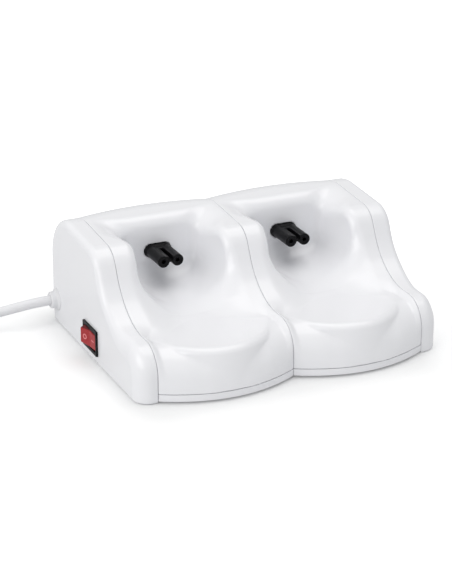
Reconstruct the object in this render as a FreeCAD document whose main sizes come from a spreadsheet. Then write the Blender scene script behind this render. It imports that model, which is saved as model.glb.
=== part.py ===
import FreeCAD, Part
import math
import os
import Sketcher
from FreeCAD import Placement, Rotation, Vector

# Two-station docking base of a roll-on wax heater.
# X runs to the right along the row of stations, Y to the back, Z up. The origin is on the
# table, on the seam between the stations, under the middle of the casing's depth.

doc = FreeCAD.newDocument("TwoStationWaxHeaterBase")

# ---------------------------------------------------------------- driving dimensions, mm and degrees

SIZES = {
    "overrun": 1,
    "station_width": 81,
    "cap_thickness": 12,
    "seam_gap": 0.3,
    "front_reach": 65.3,
    "front_bulge": 11.5,
    "rear_reach": 71.5,
    "rear_bulge": 5,
    "rail_height": 30.8,
    "shoulder_radius": 15.8,
    "land_inset": 22.3,
    "sweep_radius": 39,
    "sweep_turn": 63,
    "slope_length": 7.6,
    "brow_radius": 15,
    "crown_slope": 3.5,
    "rear_radius": 30,
    "shell_wall": 2.4,
    "shell_foot": 5.6,
    "dock_width": 54.5,
    "dock_back": 33.5,
    "dock_corner": 7,
    "dock_lip": 8.5,
    "platform_height": 28.5,
    "platform_radius": 40,
    "platform_inset": 34,
    "platform_edge": 3,
    "floor_run": 54.5,
    "floor_rise": 4,
    "cap_wall": 3.2,
    "cap_edge": 6,
    "cap_foot": 0.2,
    "pan_foot": 1.5,
    "pan_plate": 2.5,
    "pan_rim": 2,
    "rim_gap": 0.3,
    "strap_thickness": 1.9,
    "strap_width": 10,
    "boss_radius": 4,
    "boss_spread": 60,
    "boss_front_inset": 20.3,
    "boss_rear_inset": 22.5,
    "screw_radius": 1.5,
    "screw_length": 14,
    "screw_head_radius": 3,
    "screw_head_height": 1.2,
    "screw_play": 0.3,
    "pilot_play": 0.1,
    "foot_radius": 6,
    "foot_height": 2.3,
    "foot_play": 0.15,
    "foot_spread": 44,
    "foot_front_inset": 13.3,
    "foot_rear_inset": 9.5,
    "plug_height": 48.5,
    "pin_spacing": 8.6,
    "barrel_radius": 3.5,
    "web_height": 3.6,
    "nose_length": 20.4,
    "collar_width": 17.4,
    "collar_height": 8.7,
    "collar_length": 4,
    "collar_play": 0.1,
    "flange_width": 20,
    "flange_height": 12,
    "flange_depth": 6,
    "plug_tail": 8,
    "pin_hole_radius": 1.5,
    "pin_hole_depth": 2,
    "sleeve_radius": 1.8,
    "sleeve_bore": 1.25,
    "sleeve_play": 0.05,
    "sleeve_end": 2,
    "sleeve_tail_radius": 1,
    "sleeve_tail": 5,
    "retainer_width": 36,
    "retainer_height": 16,
    "retainer_thickness": 2,
    "retainer_spacing": 28,
    "retainer_boss": 3,
    "small_screw_radius": 1.1,
    "small_screw_length": 6,
    "small_head_radius": 2.2,
    "small_head_height": 1.6,
    "window_play": 0.3,
    "switch_rearward": 4.7,
    "switch_height": 13.2,
    "bezel_width": 21,
    "bezel_height": 15,
    "bezel_thickness": 1.2,
    "housing_width": 19,
    "housing_height": 12.8,
    "housing_depth": 15.5,
    "housing_wall": 0.7,
    "housing_floor": 1.5,
    "cutout_play": 0.1,
    "rocker_pivot": 2.9,
    "rocker_radius": 9,
    "rocker_height": 11,
    "rocker_crest": 3.6,
    "rocker_valley": 2.6,
    "rocker_back": 3,
    "rocker_tilt": 10,
    "rocker_play": 0.3,
    "rocker_stem_radius": 2.4,
    "rocker_stem": 2,
    "rocker_pin_radius": 1,
    "rocker_pin": 0.7,
    "pin_play": 0.05,
    "plunger_radius": 1.15,
    "plunger_play": 0.1,
    "plunger_reach": 8.5,
    "plunger_length": 6,
    "bore_depth": 5.4,
    "spring_wire": 0.2,
    "spring_pitch": 0.55,
    "lamp_radius": 1.3,
    "lamp_length": 6,
    "lamp_offset": 5.3,
    "lever_axis_depth": 12.6,
    "lever_width": 11,
    "lever_height": 4,
    "lever_thickness": 0.6,
    "lever_standoff": 0.3,
    "lever_tilt": 7,
    "blade_width": 4.8,
    "blade_thickness": 0.8,
    "blade_pitch": 7,
    "blade_length": 8,
    "blade_play": 0.1,
    "pad_thickness": 0.8,
    "pad_width": 3.4,
    "cord_radius": 3,
    "cord_inset": 9,
    "cord_height": 15,
    "cord_play": 0.1,
    "cord_inside": 45,
    "cord_joint": 1,
    "core_inset": 0.8,
    "gland_radius": 5.3,
    "gland_reach": 4.3,
    "gland_neck": 4.4,
    "keeper_gap": 0.6,
    "keeper_radius": 4.8,
    "keeper_length": 2,
    "gland_rim": 0.9,
    "gland_recess": 1.2,
    "clamp_inward": 37,
    "clamp_width": 8,
    "clamp_span": 19,
    "clamp_thickness": 2.5,
    "clamp_spacing": 13,
    "saddle_gap": 0.4,
    "block_left": 32,
    "block_width": 18,
    "block_inset": 0.5,
    "block_depth": 16.5,
    "block_height": 11,
    "pole_pitch": 8,
    "pole_inset": 4,
    "wire_low": 4.3,
    "wire_high": 7.7,
    "wire_entry": 3,
    "wire_hole": 1.1,
    "pole_screw_radius": 1.5,
    "pole_screw_length": 2,
    "pole_screw_inset": 4,
    "lead_radius": 0.9,
    "mains_plug_width": 35.3,
    "mains_plug_height": 13.7,
    "mains_plug_length": 36,
    "mains_plug_round": 4,
    "plug_sleeve_radius": 4.2,
    "plug_sleeve_length": 14,
    "prong_radius": 2,
    "prong_length": 19,
    "prong_spacing": 18.6,
    "prong_root": 4,
    "coil_leftward": 185.4,
    "coil_rearward": 49,
    "coil_inner": 19,
    "coil_outer": 47.3,
    "coil_height": 12.4,
    "coil_round": 3,
}

sheet = doc.addObject("Spreadsheet::Sheet", "dims")
for row, (alias, number) in enumerate(SIZES.items(), 1):
    sheet.set(f"A{row}", alias.replace("_", " "))
    sheet.set(f"B{row}", str(number))
    sheet.setAlias(f"B{row}", alias)
doc.recompute()


def v(alias):
    """A driving dimension's value in the sheet."""
    return float(getattr(sheet, alias))


# Places that several pieces share, as expressions over the sheet.
PAN_TOP = "(dims.pan_foot + dims.pan_plate)"
DOCK_REAR = "(dims.dock_back + dims.shell_wall)"
RETAINER_FRONT = f"({DOCK_REAR} + dims.flange_depth)"
RETAINER_REAR = f"({RETAINER_FRONT} + dims.retainer_thickness)"
PLUG_END = f"({RETAINER_FRONT} + dims.plug_tail)"
SLEEVE_END = f"({PLUG_END} + dims.sleeve_end)"
CAP_FACE = "(-dims.station_width - dims.cap_thickness)"
HOUSING_BACK = f"({CAP_FACE} + dims.housing_depth)"
PIVOT_X = f"({CAP_FACE} + dims.rocker_pivot)"
LEVER_X = f"({CAP_FACE} + dims.lever_axis_depth)"
BLADE_END = f"({HOUSING_BACK} + dims.blade_length)"
BLOCK_TOP = f"({PAN_TOP} + dims.block_height)"
CORD_Y = "(dims.rear_reach - dims.cord_inset)"
BLOCK_REAR = "(dims.rear_reach - dims.block_inset)"
SCREW_ROWS = (
    ("front", "(dims.boss_front_inset - dims.front_reach)", "(dims.foot_front_inset - dims.front_reach)"),
    ("rear", "(dims.rear_reach - dims.boss_rear_inset)", "(dims.rear_reach - dims.foot_rear_inset)"),
)
SIDES = (("left", -1), ("right", 1))

# The same places as numbers, for the shapes that are worked out.
LAND_Y = v("land_inset") - v("front_reach")
HUB_Y = v("platform_inset") - v("front_reach")
CORD_BACK = v("rear_reach") - v("cord_inset")
BLOCK_FRONT = v("rear_reach") - v("block_inset") - v("block_depth")

# ---------------------------------------------------------------- building blocks

TURN = {
    "x": Rotation(Vector(0, 1, 0), 90),
    "y": Rotation(Vector(1, 0, 0), -90),
    "z": Rotation(),
}


def place(thing, corner):
    """Binds an object's position to three expressions."""
    for axis, formula in zip("xyz", corner):
        thing.setExpression("Placement.Base." + axis, str(formula))
    return thing


def block(name, low, high):
    """A box between two corners, each a triple of expressions."""
    thing = doc.addObject("Part::Box", name)
    for side, start, end in zip(("Length", "Width", "Height"), low, high):
        thing.setExpression(side, f"({end}) - ({start})")
    return place(thing, low)


def rod(name, axis, start, radius, length):
    """A cylinder that runs from start along an axis."""
    thing = doc.addObject("Part::Cylinder", name)
    thing.Placement = Placement(Vector(), TURN[axis])
    thing.setExpression("Radius", str(radius))
    thing.setExpression("Height", str(length))
    return place(thing, start)


def fuse(name, pieces):
    thing = doc.addObject("Part::MultiFuse", name)
    thing.Shapes = pieces
    return thing


def cut(name, base, tools):
    """The base without its tools."""
    thing = doc.addObject("Part::Cut", name)
    thing.Base = base
    thing.Tool = tools[0] if len(tools) == 1 else fuse(name + "_tools", tools)
    return thing


def group(name, pieces):
    """Identical small pieces kept as separate solids of one sub-part."""
    thing = doc.addObject("Part::Compound", name)
    thing.Links = pieces
    return thing


def feature(name, shape):
    """A sub-part whose shape is worked out below from the sheet."""
    thing = doc.addObject("Part::Feature", name)
    thing.Shape = shape
    thing.Placement = Placement()
    return thing


def origin_plane(body, role):
    """One of a body's own origin planes."""
    return next(part for part in body.Origin.OriginFeatures if part.Role == role)


def plate(name, plane, wide, tall, thick, hole_spacing=None, hole_radius=None):
    """A PartDesign plate centred on its body's origin, with an optional pair of holes."""
    body = doc.addObject("PartDesign::Body", name)
    outline = body.newObject("Sketcher::SketchObject", name + "_outline")
    outline.AttachmentSupport = (origin_plane(body, plane), [""])
    outline.MapMode = "FlatFace"
    corners = [Vector(-1, -1, 0), Vector(1, -1, 0), Vector(1, 1, 0), Vector(-1, 1, 0)]
    for index in range(4):
        outline.addGeometry(Part.LineSegment(corners[index], corners[(index + 1) % 4]))
    for index in range(4):
        outline.addConstraint(Sketcher.Constraint("Coincident", index, 2, (index + 1) % 4, 1))
    for index in (0, 2):
        outline.addConstraint(Sketcher.Constraint("Horizontal", index))
        outline.addConstraint(Sketcher.Constraint("Vertical", index + 1))
    outline.addConstraint(Sketcher.Constraint("Symmetric", 0, 1, 1, 2, -1, 1))
    named_size(outline, Sketcher.Constraint("DistanceX", 0, 1, 0, 2, 2), "wide", wide)
    named_size(outline, Sketcher.Constraint("DistanceY", 1, 1, 1, 2, 2), "tall", tall)
    if hole_spacing:
        first, second = (
            outline.addGeometry(Part.Circle(Vector(x, 0, 0), Vector(0, 0, 1), 0.2))
            for x in (-0.6, 0.6)
        )
        outline.addConstraint(Sketcher.Constraint("PointOnObject", first, 3, -1))
        outline.addConstraint(Sketcher.Constraint("Symmetric", first, 3, second, 3, -1, 1))
        outline.addConstraint(Sketcher.Constraint("Equal", first, second))
        spacing = Sketcher.Constraint("DistanceX", first, 3, second, 3, 1.2)
        named_size(outline, spacing, "hole_spacing", hole_spacing)
        named_size(outline, Sketcher.Constraint("Radius", first, 0.2), "hole_radius", hole_radius)
    pad = body.newObject("PartDesign::Pad", name + "_pad")
    pad.Profile = outline
    pad.setExpression("Length", thick)
    pad.Midplane = True
    outline.Visibility = False
    return body


def named_size(sketch, constraint, name, formula):
    """Adds a constraint, names it and binds it to an expression."""
    sketch.renameConstraint(sketch.addConstraint(constraint), name)
    sketch.setExpression("Constraints." + name, formula)


def arc(start, middle, end):
    return Part.Arc(start, middle, end).toShape()


def lines(points):
    return [Part.makeLine(a, b) for a, b in zip(points, points[1:])]


# ---------------------------------------------------------------- casing outline


def crown_at(rearward):
    """Height of the casing's top line at a place behind the brow, and that line's start."""
    turn, rise = math.radians(v("sweep_turn")), math.radians(v("crown_slope"))
    foot_y = LAND_Y + v("sweep_radius") * math.sin(turn)
    foot_z = v("rail_height") + v("sweep_radius") * (1 - math.cos(turn))
    brow = Vector(
        0,
        foot_y + v("slope_length") * math.cos(turn) + v("brow_radius") * math.sin(turn),
        foot_z + v("slope_length") * math.sin(turn) - v("brow_radius") * math.cos(turn),
    )
    start = brow + v("brow_radius") * Vector(0, -math.sin(rise), math.cos(rise))
    return start.z + math.tan(rise) * (rearward - start.y), brow


def side_profile(across, front_bulge, rear_bulge, inset, foot):
    """Closed outline of the casing in the plane X = across, moved inwards by inset.

    From the front: upright wall, shoulder, flat land of the rail, hollow sweep, short slope,
    brow, nearly level crown, rear round and upright rear wall.
    """
    turn, rise = math.radians(v("sweep_turn")), math.radians(v("crown_slope"))

    def at(centre, radius, angle):
        """A point on an arc, its angle counted from +Y towards +Z."""
        return Vector(across, centre.y + radius * math.cos(angle), centre.z + radius * math.sin(angle))

    shoulder = Vector(
        across,
        -v("front_reach") - front_bulge + v("shoulder_radius"),
        v("rail_height") - v("shoulder_radius"),
    )
    sweep = Vector(across, LAND_Y, v("rail_height") + v("sweep_radius"))
    brow = crown_at(0)[1]
    rear_y = v("rear_reach") + rear_bulge - v("rear_radius")
    rear = Vector(across, rear_y, crown_at(rear_y)[0] - v("rear_radius") / math.cos(rise))
    stretches = (
        (shoulder, v("shoulder_radius") - inset, math.pi, math.pi / 2),
        (sweep, v("sweep_radius") + inset, -math.pi / 2, turn - math.pi / 2),
        (brow, v("brow_radius") - inset, turn + math.pi / 2, rise + math.pi / 2),
        (rear, v("rear_radius") - inset, rise + math.pi / 2, 0),
    )
    ends = [Vector(across, shoulder.y - v("shoulder_radius") + inset, foot)]
    edges = []
    for centre, radius, first, last in stretches:
        start, middle, end = (at(centre, radius, a) for a in (first, (first + last) / 2, last))
        edges += lines([ends[-1], start]) + [arc(start, middle, end)]
        ends.append(end)
    corner = Vector(across, ends[-1].y, foot)
    return Part.Wire(edges + lines([ends[-1], corner, ends[0]]))


def station_form(side, inset, foot, overrun=0):
    """Solid inside a station's outline: bowed out at front and back between its two seams."""
    half = v("station_width") / 2
    reach = half - v("seam_gap") / 2 + overrun
    bows = ((-reach, 0), (0, 1), (reach, 0))
    sections = [
        side_profile(side * half + x, bow * v("front_bulge"), bow * v("rear_bulge"), inset, foot)
        for x, bow in bows
    ]
    return Part.makeLoft(sections, True, False)


def boss_places(side):
    """The four screw places of a station."""
    for across in (-1, 1):
        for rearward in (v("boss_front_inset") - v("front_reach"), v("rear_reach") - v("boss_rear_inset")):
            yield Vector(side * v("station_width") / 2 + across * v("boss_spread") / 2, rearward, 0)


def upright(spot, radius, low, high):
    return Part.makeCylinder(radius, high - low, Vector(spot.x, spot.y, low))


def capsule(centre, width, height, front, rear):
    """A solid with round ends, width across X and height along Z, from front to rear."""
    radius = height / 2
    run = width / 2 - radius
    along = Vector(0, 1, 0)
    ends = [
        Part.makeCylinder(radius, rear - front, Vector(centre + x, front, v("plug_height")), along)
        for x in (-run, run)
    ]
    middle = Part.makeBox(
        2 * run, rear - front, height, Vector(centre - run, front, v("plug_height") - radius)
    )
    return middle.multiFuse(ends).removeSplitter()


# ---------------------------------------------------------------- station shells
# Each top shell is a thin skin, open at its two seams and below. Its dock is a pocket whose
# floor falls gently to a round platform with a projecting lip at the front.

SKY = 150.0  # above and ahead of everything, for cutting tools
TOUCH = 1e-6  # two places nearer than this are the same


def ahead_of_rails(grow=0):
    """All the space in front of the rails' land."""
    return Part.makeBox(4 * SKY, SKY, SKY, Vector(-2 * SKY, grow + LAND_Y - SKY, 0))


def dock_pocket(side, grow):
    """The space of a dock and above its platform, grown by a wall thickness."""
    centre = side * v("station_width") / 2
    half, back, round_ = v("dock_width") / 2 + grow, v("dock_back") + grow, v("dock_corner") + grow
    floor, lip = v("platform_height") - grow, v("dock_lip") - grow
    step = round_ * (1 - math.sqrt(0.5))
    plan = lines([Vector(centre + half, back - round_, 0), Vector(centre + half, -SKY, 0)])
    plan += lines([Vector(centre + half, -SKY, 0), Vector(centre - half, -SKY, 0)])
    plan += lines([Vector(centre - half, -SKY, 0), Vector(centre - half, back - round_, 0)])
    for hand in (-1, 1):
        plan.append(
            arc(
                Vector(centre + hand * half, back - round_, 0),
                Vector(centre + hand * (half - step), back - step, 0),
                Vector(centre + hand * (half - round_), back, 0),
            )
        )
    plan += lines([Vector(centre - half + round_, back, 0), Vector(centre + half - round_, back, 0)])
    outline = Part.Wire(Part.__sortEdges__(plan))
    column = Part.Face(outline).extrude(Vector(0, 0, SKY))
    side_view = [
        Vector(centre - SKY, -SKY, floor),
        Vector(centre - SKY, v("dock_back") - v("floor_run"), floor),
        Vector(centre - SKY, back, floor + v("floor_rise")),
        Vector(centre - SKY, back, SKY),
        Vector(centre - SKY, -SKY, SKY),
        Vector(centre - SKY, -SKY, floor),
    ]
    trough = Part.Face(Part.makePolygon(side_view)).extrude(Vector(2 * SKY, 0, 0))
    pocket = column.common(trough)
    lip_y = v("dock_back") + v("dock_lip")
    lip_z = crown_at(lip_y)[0] - v("dock_lip")
    flare = Part.makeBox(2 * half, lip_y - back, SKY, Vector(centre - half, back, lip_z))
    roll = Part.makeCylinder(lip, 2 * SKY, Vector(centre - SKY, lip_y, lip_z), Vector(1, 0, 0))
    hub = Vector(centre, HUB_Y, floor)
    disc = Part.makeCylinder(v("platform_radius") + grow, SKY, hub).common(ahead_of_rails(grow))
    return pocket.multiFuse([flare.cut(roll), disc])


def station_shell(side):
    centre = side * v("station_width") / 2
    outer = station_form(side, 0, v("shell_foot"))
    slab = Part.makeCylinder(
        v("platform_radius"),
        v("platform_edge"),
        Vector(centre, HUB_Y, v("platform_height") - v("platform_edge")),
    )
    outer = outer.fuse(slab.common(ahead_of_rails()))
    pocket = dock_pocket(side, 0)
    hollow = station_form(side, v("shell_wall"), -v("overrun"), v("overrun"))
    hollow = hollow.cut(dock_pocket(side, v("shell_wall")))
    body = outer.cut(pocket).cut(hollow)
    strap_top = v("pan_foot") + v("pan_plate") + v("strap_thickness")
    bosses, pilots = [], []
    for spot in boss_places(side):
        bosses.append(upright(spot, v("boss_radius"), strap_top, SKY).common(outer).cut(pocket))
        pilots.append(upright(spot, v("screw_radius") + v("pilot_play"), 0, v("screw_length") + strap_top))
    wall_back = v("dock_back") + v("shell_wall")
    for hand in (-1, 1):
        start = Vector(centre + hand * v("retainer_spacing") / 2, wall_back, v("plug_height"))
        along = Vector(0, 1, 0)
        bosses.append(Part.makeCylinder(v("retainer_boss"), v("flange_depth"), start, along))
        pilot = v("small_screw_radius") + v("pilot_play")
        pilots.append(Part.makeCylinder(pilot, v("flange_depth"), start, along))
    play = 2 * v("collar_play")
    opening = capsule(
        centre,
        v("collar_width") + play,
        v("collar_height") + play,
        v("dock_back") - v("overrun"),
        wall_back + v("overrun"),
    )
    return body.multiFuse(bosses).cut(Part.makeCompound(pilots + [opening])).removeSplitter()


for name, side in SIDES:
    feature("station_shell_" + name, station_shell(side))

# ---------------------------------------------------------------- base pans
# A pan closes each station from below: a plate with a low rim along the front and the back.

RIM_TOP = v("shell_foot") - v("rim_gap")
PLATE_TOP = v("pan_foot") + v("pan_plate")


def foot_places(side):
    for across in (-1, 1):
        for rearward in (v("foot_front_inset") - v("front_reach"), v("rear_reach") - v("foot_rear_inset")):
            yield Vector(side * v("station_width") / 2 + across * v("foot_spread") / 2, rearward, 0)


def base_pan(side):
    layer = Part.makeBox(4 * SKY, 4 * SKY, RIM_TOP - v("pan_foot"))
    layer.translate(Vector(-2 * SKY, -2 * SKY, v("pan_foot")))
    tray = Part.makeBox(4 * SKY, 4 * SKY, SKY, Vector(-2 * SKY, -2 * SKY, PLATE_TOP))
    pan = station_form(side, 0, 0).common(layer)
    pan = pan.cut(station_form(side, v("pan_rim"), 0, v("overrun")).common(tray))
    tools = []
    for spot in boss_places(side):
        seat = v("pan_foot") + v("screw_head_height") + v("pilot_play")
        tools.append(upright(spot, v("screw_radius") + v("screw_play"), 0, PLATE_TOP))
        tools.append(upright(spot, v("screw_head_radius") + v("screw_play"), 0, seat))
    for spot in foot_places(side):
        tools.append(upright(spot, v("foot_radius") + v("foot_play"), 0, v("foot_height")))
    return pan.cut(Part.makeCompound(tools))


def cord_saddle():
    """Block on the left pan with a channel that the cord lies in, and two screw holes."""
    along = -v("station_width") - v("cap_thickness") + v("clamp_inward")
    top = v("cord_height") + v("cord_radius") - v("saddle_gap")
    low = Vector(along - v("clamp_width") / 2, CORD_BACK - v("clamp_span") / 2, PLATE_TOP)
    saddle = Part.makeBox(v("clamp_width"), v("clamp_span"), top - PLATE_TOP, low)
    half = v("cord_radius") + v("cord_play")
    channel_foot = v("cord_height") - half
    corner = Vector(low.x, CORD_BACK - half, channel_foot)
    channel = Part.makeBox(v("clamp_width"), 2 * half, SKY, corner)
    saddle = saddle.cut(channel)
    for hand in (-1, 1):
        spot = Vector(along, CORD_BACK + hand * v("clamp_spacing") / 2, 0)
        pilot = v("small_screw_radius") + v("pilot_play")
        saddle = saddle.cut(upright(spot, pilot, top - v("small_screw_length"), SKY))
    return saddle


feature("base_pan_left", base_pan(-1).fuse(cord_saddle()).removeSplitter())
feature("base_pan_right", base_pan(1).removeSplitter())

# ---------------------------------------------------------------- end caps
# Each cap is a hollow slice of the same outline with a rounded outer edge. Two lugs reach
# from it over the pan and are clamped under the station's screw bosses.


def outline_edges(solid, across, foot):
    """A solid's edges in the plane X = across, without the one along its foot."""
    return [
        edge
        for edge in solid.Edges
        if all(abs(end.Point.x - across) < TOUCH for end in edge.Vertexes)
        and max(end.Point.z for end in edge.Vertexes) > foot + TOUCH
    ]


def end_cap():
    """The right cap. The left one is its mirror image, with openings for switch and cord."""
    seam = v("station_width") + v("seam_gap") / 2
    face = v("station_width") + v("cap_thickness")
    outer = Part.Face(side_profile(face, 0, 0, 0, v("cap_foot"))).extrude(Vector(seam - face, 0, 0))
    outer = outer.makeFillet(v("cap_edge"), outline_edges(outer, face, v("cap_foot")))
    inside = face - v("cap_wall")
    hollow = Part.Face(side_profile(inside, 0, 0, v("cap_wall"), PLATE_TOP))
    hollow = hollow.extrude(Vector(seam - inside - v("overrun"), 0, 0))
    corners = outline_edges(hollow, inside, PLATE_TOP)
    hollow = hollow.makeFillet(v("cap_edge") - v("cap_wall"), corners)
    cap = outer.cut(hollow)
    for spot in boss_places(1):
        if spot.x > v("station_width") / 2:
            start = Vector(spot.x - v("strap_width") / 2, spot.y - v("strap_width") / 2, PLATE_TOP)
            reach = inside + v("overrun") - start.x
            lug = Part.makeBox(reach, v("strap_width"), v("strap_thickness"), start)
            hole = upright(spot, v("screw_radius") + v("screw_play"), 0, SKY)
            cap = cap.fuse(lug.cut(hole))
    return cap.removeSplitter()


cap_shape = end_cap()
feature("end_cap_right", cap_shape)
cap_blank = feature("cap_blank", cap_shape.mirror(Vector(), Vector(1, 0, 0)))
switch_cutout = block(
    "switch_cutout",
    (
        f"{CAP_FACE} - dims.overrun",
        "dims.switch_rearward - dims.housing_width / 2 - dims.cutout_play",
        "dims.switch_height - dims.housing_height / 2 - dims.cutout_play",
    ),
    (
        f"{CAP_FACE} + dims.cap_wall + dims.overrun",
        "dims.switch_rearward + dims.housing_width / 2 + dims.cutout_play",
        "dims.switch_height + dims.housing_height / 2 + dims.cutout_play",
    ),
)
gland_cutout = rod(
    "gland_cutout",
    "x",
    (f"{CAP_FACE} - dims.overrun", CORD_Y, "dims.cord_height"),
    "dims.gland_neck + dims.cord_play",
    "dims.cap_wall + 2 * dims.overrun",
)
cut("end_cap_left", cap_blank, [switch_cutout, gland_cutout])

# ---------------------------------------------------------------- straps, screws and feet
# Straps bridge the middle seam above the pans; the case screws pass through pan, strap or
# cap lug and into the shell's bosses.

for name, rearward, _ in SCREW_ROWS:
    spacing = "dims.station_width - dims.boss_spread"
    strap = plate(
        "seam_strap_" + name,
        "XY_Plane",
        f"{spacing} + dims.strap_width",
        "dims.strap_width",
        "dims.strap_thickness",
        spacing,
        "dims.screw_radius + dims.screw_play",
    )
    place(strap, ("0", rearward, f"{PAN_TOP} + dims.strap_thickness / 2"))


def screw(name, axis, seat, radius, length, head_radius, head_height, backwards):
    """A screw whose head stands on its seat; its shank runs the other way along the axis."""
    index = "xyz".index(axis)
    shank_start, head_start = list(seat), list(seat)
    if backwards:
        shank_start[index] = f"{seat[index]} - {length}"
    else:
        head_start[index] = f"{seat[index]} - {head_height}"
    shank = rod(name + "_shank", axis, shank_start, radius, length)
    head = rod(name + "_head", axis, head_start, head_radius, head_height)
    return fuse(name, [shank, head])


for name, side in SIDES:
    screws, feet = [], []
    for across in (-1, 1):
        for where, boss_y, foot_y in SCREW_ROWS:
            spot = f"{side} * dims.station_width / 2 + {across} * dims.boss_spread / 2"
            seat = (spot, boss_y, "dims.pan_foot + dims.screw_head_height + dims.pilot_play")
            screws.append(
                screw(
                    f"case_screw_{name}_{where}_{across + 1}",
                    "z",
                    seat,
                    "dims.screw_radius",
                    "dims.screw_length",
                    "dims.screw_head_radius",
                    "dims.screw_head_height",
                    backwards=False,
                )
            )
            spot = f"{side} * dims.station_width / 2 + {across} * dims.foot_spread / 2"
            label = f"foot_{name}_{where}_{across + 1}"
            feet.append(rod(label, "z", (spot, foot_y, "0"), "dims.foot_radius", "dims.foot_height"))
    group("case_screws_" + name, screws)
    group("rubber_feet_" + name, feet)

# ---------------------------------------------------------------- dock plugs
# A black connector nose with two barrels joined by a web, held from behind by a flange
# that a retainer plate clamps against the dock's back wall.

all_retainer_screws = []
for name, side in SIDES:
    centre = f"{side} * dims.station_width / 2"
    tip = "(dims.dock_back - dims.nose_length)"
    barrels, bores, sleeves = [], [], []
    for hand in (-1, 1):
        axis_x = f"{centre} + {hand} * dims.pin_spacing / 2"
        tag = f"{name}_{hand + 1}"
        barrels.append(
            rod(
                "barrel_" + tag,
                "y",
                (axis_x, tip, "dims.plug_height"),
                "dims.barrel_radius",
                f"{PLUG_END} - {tip}",
            )
        )
        bores.append(
            rod(
                "pin_hole_" + tag,
                "y",
                (axis_x, f"{tip} - dims.overrun", "dims.plug_height"),
                "dims.pin_hole_radius",
                "dims.pin_hole_depth + 2 * dims.overrun",
            )
        )
        seat = f"({tip} + dims.pin_hole_depth)"
        bores.append(
            rod(
                "sleeve_bore_" + tag,
                "y",
                (axis_x, seat, "dims.plug_height"),
                "dims.sleeve_radius + dims.sleeve_play",
                f"{PLUG_END} + dims.overrun - {seat}",
            )
        )
        tube = rod(
            "sleeve_tube_" + tag,
            "y",
            (axis_x, seat, "dims.plug_height"),
            "dims.sleeve_radius",
            f"{SLEEVE_END} - {seat}",
        )
        opening = rod(
            "sleeve_opening_" + tag,
            "y",
            (axis_x, f"{seat} - dims.overrun", "dims.plug_height"),
            "dims.sleeve_bore",
            "dims.nose_length + dims.flange_depth",
        )
        tail = rod(
            "sleeve_tail_" + tag,
            "y",
            (axis_x, SLEEVE_END, "dims.plug_height"),
            "dims.sleeve_tail_radius",
            "dims.sleeve_tail",
        )
        sleeves.append(fuse("sleeve_" + tag, [cut("sleeve_hollow_" + tag, tube, [opening]), tail]))
    web = block(
        "plug_web_" + name,
        (f"{centre} - dims.pin_spacing / 2", tip, "dims.plug_height - dims.web_height / 2"),
        (f"{centre} + dims.pin_spacing / 2", PLUG_END, "dims.plug_height + dims.web_height / 2"),
    )
    collar_ends = [
        rod(
            f"collar_end_{name}_{hand + 1}",
            "y",
            (
                f"{centre} + {hand} * (dims.collar_width - dims.collar_height) / 2",
                "dims.dock_back - dims.collar_length",
                "dims.plug_height",
            ),
            "dims.collar_height / 2",
            f"{DOCK_REAR} - dims.dock_back + dims.collar_length",
        )
        for hand in (-1, 1)
    ]
    collar = block(
        "collar_middle_" + name,
        (
            f"{centre} - (dims.collar_width - dims.collar_height) / 2",
            "dims.dock_back - dims.collar_length",
            "dims.plug_height - dims.collar_height / 2",
        ),
        (
            f"{centre} + (dims.collar_width - dims.collar_height) / 2",
            DOCK_REAR,
            "dims.plug_height + dims.collar_height / 2",
        ),
    )
    flange = block(
        "plug_flange_" + name,
        (f"{centre} - dims.flange_width / 2", DOCK_REAR, "dims.plug_height - dims.flange_height / 2"),
        (f"{centre} + dims.flange_width / 2", RETAINER_FRONT, "dims.plug_height + dims.flange_height / 2"),
    )
    nose = fuse("plug_solid_" + name, barrels + [web, collar, flange] + collar_ends)
    cut("dock_plug_" + name, nose, bores)
    group("plug_contacts_" + name, sleeves)

    retainer = plate(
        "retainer_blank_" + name,
        "XZ_Plane",
        "dims.retainer_width",
        "dims.retainer_height",
        "dims.retainer_thickness",
        "dims.retainer_spacing",
        "dims.small_screw_radius + dims.screw_play",
    )
    place(retainer, (centre, f"{RETAINER_FRONT} + dims.retainer_thickness / 2", "dims.plug_height"))
    window = [
        rod(
            f"window_end_{name}_{hand + 1}",
            "y",
            (
                f"{centre} + {hand} * dims.pin_spacing / 2",
                f"{RETAINER_FRONT} - dims.overrun",
                "dims.plug_height",
            ),
            "dims.barrel_radius + dims.window_play",
            "dims.retainer_thickness + 2 * dims.overrun",
        )
        for hand in (-1, 1)
    ]
    window.append(
        block(
            "window_middle_" + name,
            (
                f"{centre} - dims.pin_spacing / 2",
                f"{RETAINER_FRONT} - dims.overrun",
                "dims.plug_height - dims.barrel_radius - dims.window_play",
            ),
            (
                f"{centre} + dims.pin_spacing / 2",
                f"{RETAINER_REAR} + dims.overrun",
                "dims.plug_height + dims.barrel_radius + dims.window_play",
            ),
        )
    )
    cut("plug_retainer_" + name, retainer, window)
    for hand in (-1, 1):
        all_retainer_screws.append(
            screw(
                f"retainer_screw_{name}_{hand + 1}",
                "y",
                (f"{centre} + {hand} * dims.retainer_spacing / 2", RETAINER_REAR, "dims.plug_height"),
                "dims.small_screw_radius",
                "dims.small_screw_length",
                "dims.small_head_radius",
                "dims.small_head_height",
                backwards=True,
            )
        )
group("retainer_screws", all_retainer_screws)

# ---------------------------------------------------------------- switch
# A panel switch in the left cap. Its rocker turns about a vertical pin; a sprung plunger in
# the rocker slides over a contact lever that tips on the middle terminal.


def around_switch(width, height, front, rear):
    """Corners of a box centred on the switch, across the cap and up its face."""
    low = (front, f"dims.switch_rearward - ({width}) / 2", f"dims.switch_height - ({height}) / 2")
    high = (rear, f"dims.switch_rearward + ({width}) / 2", f"dims.switch_height + ({height}) / 2")
    return low, high


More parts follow.
